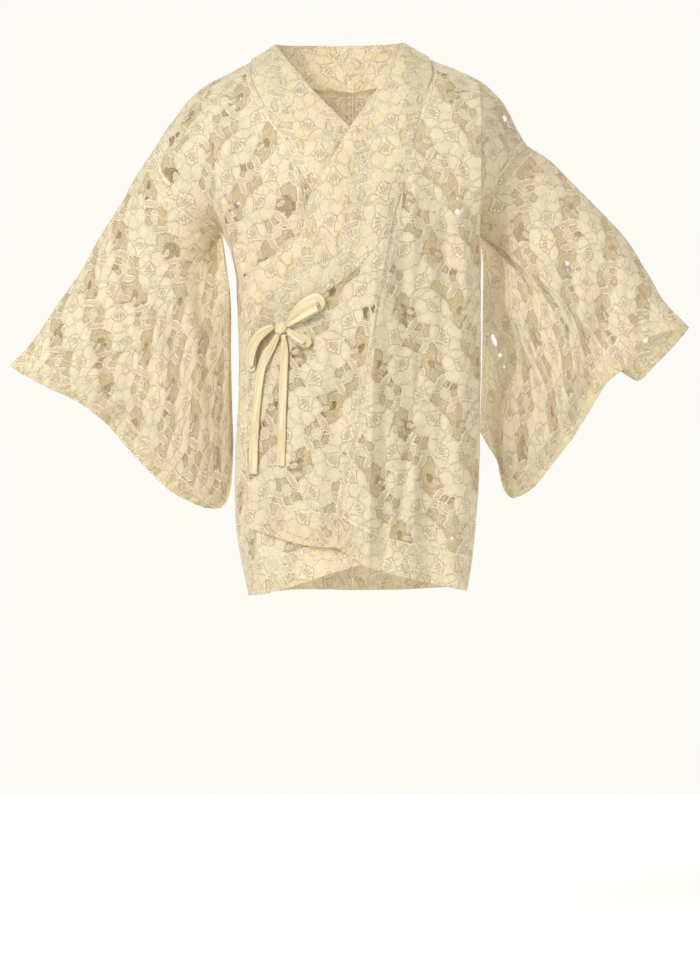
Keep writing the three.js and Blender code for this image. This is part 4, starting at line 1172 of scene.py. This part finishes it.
# How far each tint covers the one below it, the line's being a painted highlight on the cords and
# stamen threads, and the shares of light and dark in fibre and tone
DOUBLED_TINT = 0.45
RIB_TINT = 0.22
LINE_HIGHLIGHT = 0.9
FIBRE_SHADE = (0.2, 0.4)
TONE_SHADE = (0.24, 0.38)
LACE_FEEL = {"Roughness": 0.85, "Sheen Weight": 0.25, "Sheen Roughness": 0.5}
# The strength of the relief, and its depth in metres
LACE_RELIEF = (0.9, 0.0011)


def lace_cloth(name, ground, stitching, most_open):
    """Lace with these colours. most_open is how clear its net is between the threads."""
    made, tree, shader, uv = new_cloth(name, LACE_FEEL)
    plus, less, times, most, size_of, cosine = sums(
        tree, "ADD", "SUBTRACT", "MULTIPLY", "MAXIMUM", "ABSOLUTE", "COSINE")
    cord, stamen, toile, rib, doubled = [field(tree, key) for key in FIELDS]
    petal = soft_step(tree, toile, *PETAL_EDGE)
    outline = less(1.0, soft_step(tree, size_of(cord), *CORD_EDGE))
    thread = less(1.0, soft_step(tree, size_of(stamen), *THREAD_EDGE))
    line = most(outline, thread)
    ribs = times(scaled(tree, cosine(times(rib, 2 * math.pi)), 0.5, 0.5), petal)
    settings = {"feature": "DISTANCE_TO_EDGE"}
    meshes = add(tree, "TexVoronoi", settings, {"Vector": uv, "Scale": NET_MESHES})
    hole = soft_step(tree, meshes.outputs["Distance"], *MESH_EDGE)
    fibre = noise(tree, uv, STITCH_COURSES, 2.0)
    tone = noise(tree, uv, TONE_PATCHES, 3.0)
    mesh_open = times(less(1.0, most(petal, line)), hole)

    relief = times(mesh_open, -MESH_SUNK)
    heights = ((petal, PETAL_HIGH), (line, LINE_HIGH), (ribs, RIB_HIGH), (fibre, FIBRE_HIGH))
    for part, height in heights:
        relief = plus(relief, times(part, height))

    # Painted shade: a darker cream in the hollow just outside each petal, between the stamens, and
    # under a petal where another lies over it
    outside = soft_step(tree, size_of(plus(toile, HOLLOW_OUT)), *OUTSIDE_WAYS)
    beside = soft_step(tree, size_of(stamen), *BESIDE_WAYS)
    under = times(*(soft_step(tree, cord, *ways) for ways in OVERLAP_WAYS))
    painted_hollow_shade = times(outside, SHADE_OUTSIDE)
    for part, dark in ((beside, SHADE_BESIDE), (times(under, petal), SHADE_OVERLAPPED)):
        painted_hollow_shade = most(painted_hollow_shade, times(part, dark))
    # On the plain lace the ground's cream is the net's own cream, darkened with painted shade of the
    # coat's inside seen through it
    tint = blend(tree, petal, colour(ground), colour(stitching))
    layers = (
        (times(doubled, DOUBLED_TINT), CREAM_DOUBLED),
        (times(ribs, RIB_TINT), ground),
        (painted_hollow_shade, CREAM_SHADE),
        # Painted highlight on the raised cords and stamen threads
        (times(line, LINE_HIGHLIGHT), CREAM_CORD_HIGHLIGHT),
    )
    for share, code in layers:
        tint = blend(tree, share, tint, colour(code))
    shade = plus(scaled(tree, fibre, *FIBRE_SHADE), scaled(tree, tone, *TONE_SHADE))
    grey = add(tree, "CombineColor", None, {0: shade, 1: shade, 2: shade}).outputs[0]
    tint = blend(tree, 1.0, tint, grey, "MULTIPLY")
    bump = dress(tree, shader, tint, relief, *LACE_RELIEF)

    clear = times(mesh_open, less(1.0, doubled))
    tree.links.new(less(1.0, times(clear, most_open)), shader.inputs["Alpha"])
    glow = add(tree, "BsdfTranslucent", None, {"Color": tint, "Normal": bump})
    inputs = {0: LET_THROUGH, 1: shader.outputs["BSDF"], 2: glow.outputs["BSDF"]}
    both = add(tree, "MixShader", None, inputs)
    tree.links.new(both.outputs["Shader"], tree.nodes["Material Output"].inputs["Surface"])
    return made


# Crepe ribbon of polyester, sewn as a flat tube. It gives a soft matt cream with a fine
# crossways pebble and a slightly shaded wrinkle along its length.
# Counts in 100 mm: the pebbles of about 1 mm, and the wrinkles across and along the ribbon
CREPE_PEBBLES = 95
PEBBLE_HIGH = 0.2
WRINKLES = (9, 1.4, 1.0)
# Where the noise of the wrinkles turns from shade to pale
WRINKLE_PALE = (0.38, 0.62)
CREPE_FEEL = {"Roughness": 0.7, "Sheen Weight": 0.3}
CREPE_RELIEF = (0.8, 0.0016)


def ribbon_cloth(name):
    made, tree, shader, uv = new_cloth(name, CREPE_FEEL)
    pebble = noise(tree, uv, CREPE_PEBBLES, 2.0)
    long_way = add(tree, "Mapping", None, {"Vector": uv, "Scale": WRINKLES}).outputs["Vector"]
    wrinkle = noise(tree, long_way, 1.0, 3.0)
    pale = soft_step(tree, wrinkle, *WRINKLE_PALE)
    tint = blend(tree, pale, colour(RIBBON_SHADE), colour(CREAM_RIBBON))
    dress(tree, shader, tint, scaled(tree, pebble, PEBBLE_HIGH, wrinkle), *CREPE_RELIEF)
    return made


def fine_steps(lengths, size):
    """Fine places along a grid line, each of the frame's steps split into whole parts."""
    parts = np.maximum(1, np.round(np.asarray(lengths) / size).astype(int))
    return np.concatenate([k + np.arange(n) / n for k, n in enumerate(parts)] + [[len(parts)]])


def fine_grid(made, size):
    """The fine rows and columns of a surface, as even as the frame's grid lets them be."""
    surface, rows, cols = made
    points = surface(np.arange(rows + 1.0), np.arange(cols + 1.0))
    down = step_lengths(points).mean(axis=1)
    across = step_lengths(points, axis=1).mean(axis=0)
    return fine_steps(down, size), fine_steps(across, size)


def edge_bands(s, t, bands):
    """How far each place lies inside the doubled band nearest to it, and from the cloth's edge."""
    ways = {
        "top": t - t[:1], "hem": t[-1:] - t,
        "start": np.abs(s - s[:, :1]), "end": np.abs(s[:, -1:] - s),
    }
    edge = np.minimum.reduce(list(ways.values()))
    inside = np.maximum.reduce([bands.get(key, 0) - way for key, way in ways.items()])
    return edge, inside


def lace_piece(name, node, made, cut, turn, bands):
    """One cut piece of lace. bands names its edges that are turned in, and how wide."""
    fine_rows, fine_cols = fine_grid(made, STITCH)
    points = made[0](fine_rows, fine_cols)
    s, t = flat_measure(made, cut, fine_rows, fine_cols)
    edge, inside = edge_bands(s, t, bands)
    share = ease(inside / BAND_SOFT + 0.5)
    pattern = doubled_lace(s, t + cut["shift"], turn, share)
    pattern["doubled"] = share
    stitches = np.abs(inside - HEM_STITCH)
    nearest = stitches < np.abs(pattern["cord"])
    pattern["cord"] = np.where(nearest, inside - HEM_STITCH, pattern["cord"])
    keep = np.maximum(pattern["keep"], BORDER - edge)
    keep = np.maximum(keep, HEM_STITCH_HALF - stitches)
    dome = 1 - np.exp(-np.maximum(pattern["toile"], 0) / SWELL_WAY)
    ridge = np.exp(-((pattern["cord"] / CORD_WAY) ** 2)) * (pattern["toile"] > -1)
    out = SWELL * dome + CORD_SWELL * ridge
    normals = grid_normals(points, turn)
    points = points + normals * (out * ease(edge / EDGE_FLAT))[..., None]
    columns = [points[..., k] for k in range(3)] + [s, t] + [pattern[key] for key in FIELDS]
    values = np.stack(columns, axis=-1).reshape(-1, len(columns))
    values, faces = cut_squares(keep, values, turn)
    faces = largest_island(len(values), faces)
    fields = {key: values[:, 5 + k] for k, key in enumerate(FIELDS)}
    piece = build_mesh(name, values[:, :3], faces, values[:, 3:5] / UV_UNIT, fields)
    finish_piece(piece, node)


def finish_piece(piece, node):
    """Gives a piece its material, hangs it on what it rides on, and hides the frame's part that it
    stands for.
    """
    kind = next(row["material_slot"] for row in frame["record"]["subparts"] if row["node"] == node)
    piece.data.materials.append(MATERIALS[kind])
    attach(piece, "root")
    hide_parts(node)


# Ribbons. The strip is a flat tube of crepe, cupped a little, with soft lengthwise wrinkles.
# Its thickness in the middle and at its edges, its mesh, and its cup as a share of its width
RIBBON_THICK = 1.5
RIBBON_THINNEST = 0.02
RIBBON_STEP = 2.0
RIBBON_ROWS = 24
RIBBON_ACROSS = 12
RIBBON_CUP = 0.09
# A ribbon's direction is taken between two places this share of its length to either side
LOOK_AHEAD = 0.02
# Wrinkles along the ribbon and slanting across it. Columns: height as a share of the width,
# count across, count along
LONG_WRINKLES = (0.035, 9, 7)
SLANT_WRINKLES = (0.03, 17, 5)


def ribbon_piece(name, node, route, seed):
    """A tie along a route of x, drop, lift and width, closed all round."""
    line = rail(route)
    long = float(step_lengths(np.asarray(route)[:, :3]).sum())
    u = np.linspace(0, 1, max(RIBBON_ROWS, int(long / RIBBON_STEP)))

    def centre(share):
        x, drop, lift, width = line(bounded(share)).T
        return place(-1, x, drop, OVER_LIFT + lift), width, x, drop

    middle, width, x, drop = centre(u)
    ahead = unit(centre(u + LOOK_AHEAD)[0] - centre(u - LOOK_AHEAD)[0])
    across = unit(np.cross(outward(-1, x, drop), ahead))
    out = unit(np.cross(ahead, across))
    w = np.linspace(-0.5, 0.5, RIBBON_ACROSS + 1)
    high, wide_ways, long_ways = LONG_WRINKLES
    ripple = high * np.sin(w * wide_ways + seed) * np.sin(u * long_ways + seed * 2)[:, None]
    high, wide_ways, long_ways = SLANT_WRINKLES
    ripple = ripple + high * np.sin(w * wide_ways + seed + long_ways * u[:, None])
    height = (RIBBON_CUP * (1 - (2 * w) ** 2) + ripple) * width[:, None]
    aside = across[:, None] * (w * width[:, None])[..., None]
    face = middle[:, None] + aside + out[:, None] * height[..., None]
    thick = RIBBON_THICK * np.sqrt(np.maximum(1 - (2 * w) ** 2, 0)) ** 0.5
    back = face - out[:, None] * np.maximum(thick, RIBBON_THINNEST)[None, :, None]
    ring = np.concatenate([face, back[:, -2:0:-1]], axis=1)
    count, around = ring.shape[:2]
    number = np.arange(count * around).reshape(count, around)
    following = np.roll(number, -1, axis=1)
    sides = joined(number[:-1], number[1:], following[1:], following[:-1]).reshape(-1, 4)
    points = ring.reshape(-1, 3)
    ends = []
    for row in (0, count - 1):
        pair = (number[row], following[row]) if row == 0 else (following[row], number[row])
        ends.append(joined(*pair, np.full(around, len(points))))
        points = np.concatenate([points, ring[row].mean(axis=0)[None]])
    lengths = np.concatenate([[0], np.cumsum(step_lengths(middle))])
    uv_face = joined(*np.broadcast_arrays(w * width[:, None], lengths[:, None]))
    uvs = np.concatenate([uv_face, uv_face[:, -2:0:-1]], axis=1).reshape(-1, 2) / UV_UNIT
    uvs = np.concatenate([uvs, uvs[:1], uvs[-1:]])
    piece = build_mesh(name, points, [sides, np.concatenate(ends)], uvs)
    finish_piece(piece, node)


# The knot's grid, the slant of the ribbon wound round it, and the half width of that winding
# and the way over which it ends, as shares of the knot's half size
KNOT_GRID = (40, 72)
KNOT_SLANT = (0.82, 0.57)
WINDING = (0.62, 0.14)
# The knot's size beside the winding, and how much more it is on it. Then the gathers in both
# places: their depth and count, and the slant of the first
KNOT_BESIDE = 0.84
KNOT_ON = 0.13
GATHERS_BESIDE = (0.05, 13, 3)
GATHERS_ON = (0.03, 16)
# The groove beside the winding: its depth, and where it starts and ends
GROOVE = 0.07
GROOVE_STARTS = (0.5, 0.06)
GROOVE_ENDS = (0.72, 0.1)
# How many mm of cloth lie over its half size
KNOT_CLOTH = 12


def knot_piece(name, node):
    """The knot: the ribbon wound once round its own crossing, with the gathers pressed in."""
    v = np.linspace(0, np.pi, KNOT_GRID[0])[:, None]
    u = np.linspace(0, 2 * np.pi, KNOT_GRID[1], endpoint=False)[None]
    x = np.sin(v) * np.sin(u)
    y = -np.sin(v) * np.cos(u)
    z = np.cos(v) * np.ones_like(u)
    flat, steep = KNOT_SLANT
    lean = x * flat - z * steep
    up = x * steep + z * flat
    aside = np.abs(lean)
    band = ease((WINDING[0] - aside) / WINDING[1])
    deep, count, slant = GATHERS_BESIDE
    beside = deep * np.cos(up * count + lean * slant) * (1 - band)
    deep, count = GATHERS_ON
    gathers = beside + deep * np.cos(lean * count) * band
    swell = KNOT_BESIDE + KNOT_ON * band + gathers
    groove = rise(aside, *GROOVE_STARTS) * ease((GROOVE_ENDS[0] - aside) / GROOVE_ENDS[1])
    swell = swell - GROOVE * groove
    lift = OVER_LIFT + KNOT["deep"] / 2 + KNOT["clear"]
    middle = place(-1, np.array([KNOT["x"]]), np.array([KNOT["drop"]]), lift)[0]
    half = np.array([KNOT["wide"], KNOT["deep"], KNOT["high"]]) / 2
    points = middle + joined(x, y, z) * swell[..., None] * half
    rows, cols = KNOT_GRID
    number = np.arange(rows * cols).reshape(rows, cols)
    number[0] = number[0, 0]
    number[-1] = number[-1, 0]
    after = np.roll(number, -1, axis=1)
    quads = joined(number[1:-2], number[2:-1], after[2:-1], after[1:-2]).reshape(-1, 4)
    top = joined(number[0], number[1], after[1])
    bottom = joined(number[-2], number[-1], after[-2])
    uvs = joined(lean * KNOT_CLOTH, up * KNOT_CLOTH).reshape(-1, 2) / UV_UNIT
    piece = build_mesh(name, points.reshape(-1, 3), [quads, np.concatenate([top, bottom])], uvs)
    finish_piece(piece, node)


# How clear the net is between its threads
NET_OPEN = 0.45
MATERIALS = {
    "lace": lace_cloth("corded lace", CREAM_NET_AND_SHADE_BEHIND, CREAM_STITCH, NET_OPEN),
    "collar_lace": lace_cloth("corded lace, doubled", CREAM_DOUBLED, CREAM_STITCH, 0.0),
    "ribbon": ribbon_cloth("cream crepe ribbon"),
}

# How far the pattern is shifted up on the pieces behind, so that gaps lie off the ones in front
BACK_SHIFT = 43


def cut_from(column=0, upright=False, shift=0):
    """How a piece is cut: the column it is measured from, whether its threads hang upright, and
    how far its pattern is shifted."""
    return {"column": column, "upright": upright, "shift": shift}


PANEL_BANDS = {"hem": HEM_BAND, "start": SEAM_BAND, "end": SEAM_BAND}
OVERLAP_BANDS = {"hem": HEM_BAND, "start": SEAM_BAND, "end": FREE_BAND}
SLEEVE_BANDS = {"hem": CUFF_BAND, "start": FREE_BAND, "end": CUFF_BAND}
BODY_CUTS = {"front": cut_from(FLAT_COLS, True), "back": cut_from(0, True, BACK_SHIFT)}
SLEEVE_CUTS = {"front": cut_from(), "back": cut_from(0, False, BACK_SHIFT)}

for label, side in (("left", 1), ("right", -1)):
    for face, layer in ((-1, "front"), (1, "back")):
        lace_piece(f"{label}_{layer}_panel", f"{layer}_{label}", body_surface(face, side),
                   BODY_CUTS[layer], -face * side, PANEL_BANDS)
    lace_piece(f"{label}_overlap_panel", f"overlap_{label}", overlap_surface(side),
               cut_from(0, True), -side, OVERLAP_BANDS)
    for face, layer in ((-1, "front"), (1, "back")):
        lace_piece(f"{label}_sleeve_{layer}_layer", f"sleeve_{label}_{layer}",
                   sleeve_surface(face, side), SLEEVE_CUTS[layer], -face * side, SLEEVE_BANDS)
    lace_piece(f"{label}_collar", f"collar_{label}", collar_front_surface(side), cut_from(), side,
               {"start": COLLAR_WHOLE})
lace_piece("collar_round_the_neck", "collar_back", collar_back_surface(),
           cut_from(COLLAR_BACK_COLS // 2), -1, {"top": COLLAR_WHOLE})

TIES = {
    "bow_upper_loop": ("tie_loop_upper", LOOP_UPPER),
    "bow_lower_loop": ("tie_loop_lower", LOOP_LOWER),
    "bow_left_loop": ("tie_loop_left", LOOP_LEFT),
    "bow_left_tail": ("tie_tail_left", TAIL_LEFT),
    "bow_right_tail": ("tie_tail_right", TAIL_RIGHT),
}
# Each tie's wrinkles start this much farther on than the last one's
SEED_STEP = 1.7
for seed, (name, (node, route)) in enumerate(TIES.items()):
    ribbon_piece(name, node, route, seed * SEED_STEP)
knot_piece("bow_knot", "tie_knot")

# The studio: a pale floor in front of white light, broad soft lamps, and the photo's level view
FLOOR_DROP = -1.42
FLOOR_HALF = 2.4
FLOOR_LOOK = {"Base Color": colour("#f6f5f2"), "Roughness": 0.9}
ways = ((-1, -1), (1, -1), (1, 1), (-1, 1))
mesh = bpy.data.meshes.new("studio_floor")
mesh.from_pydata([(x * FLOOR_HALF, y * FLOOR_HALF, FLOOR_DROP) for x, y in ways], [], [(0, 1, 2, 3)])
floor = bpy.data.objects.new("studio_floor", mesh)
bpy.context.scene.collection.objects.link(floor)
paint = bpy.data.materials.new("studio_floor")
paint.use_nodes = True
for key, value in FLOOR_LOOK.items():
    paint.node_tree.nodes["Principled BSDF"].inputs[key].default_value = value
mesh.materials.append(paint)

# The lamps all face the coat's middle. Columns: place, side in metres, watts
COAT_MIDDLE = Vector((0, 0, -0.45))
LAMPS = {
    "key lamp": ((-2.2, -2.8, 1.3), 1.3, 114),
    "fill lamp": ((2.6, -2.6, 0.4), 2.0, 40),
    "back lamp": ((0.6, 3.0, 1.0), 2.0, 84),
}
for name, (stands_at, size, watts) in LAMPS.items():
    data = bpy.data.lights.new(name, "AREA")
    data.shape = "SQUARE"
    data.size = size
    data.energy = watts
    lamp = bpy.data.objects.new(name, data)
    lamp.location = stands_at
    lamp.rotation_mode = "QUATERNION"
    lamp.rotation_quaternion = (COAT_MIDDLE - Vector(stands_at)).to_track_quat("-Z", "Y")
    bpy.context.scene.collection.objects.link(lamp)

# The coat is lit softly from all round, and the eye sees plain white behind it
AROUND = 0.45
world = bpy.data.worlds.new("pale_studio")
world.use_nodes = True
sky = world.node_tree
sky.nodes.clear()
seen = add(sky, "LightPath").outputs["Is Camera Ray"]
strength = scaled(sky, seen, 1 - AROUND, AROUND)
light = add(sky, "Background", None, {"Color": colour("#fdfbf6"), "Strength": strength})
add(sky, "OutputWorld", None, {"Surface": light.outputs["Background"]})
bpy.context.scene.world = world
bpy.context.scene.view_settings.view_transform = "Standard"

# The photo shows 1.488 m from top to bottom at the coat, seen level from in front
VIEW_HIGH = 1.488
VIEW_FAR = 4.5
VIEW_ACROSS = 0.00775
VIEW_UP = -0.671
SENSOR = 36.0
lens = bpy.data.cameras.new("camera")
lens.sensor_width = SENSOR
lens.lens = SENSOR * VIEW_FAR / VIEW_HIGH
camera = bpy.data.objects.new("camera", lens)
camera.location = (VIEW_ACROSS, -VIEW_FAR, VIEW_UP)
camera.rotation_euler = (math.pi / 2, 0, 0)
bpy.context.scene.collection.objects.link(camera)
bpy.context.scene.camera = camera
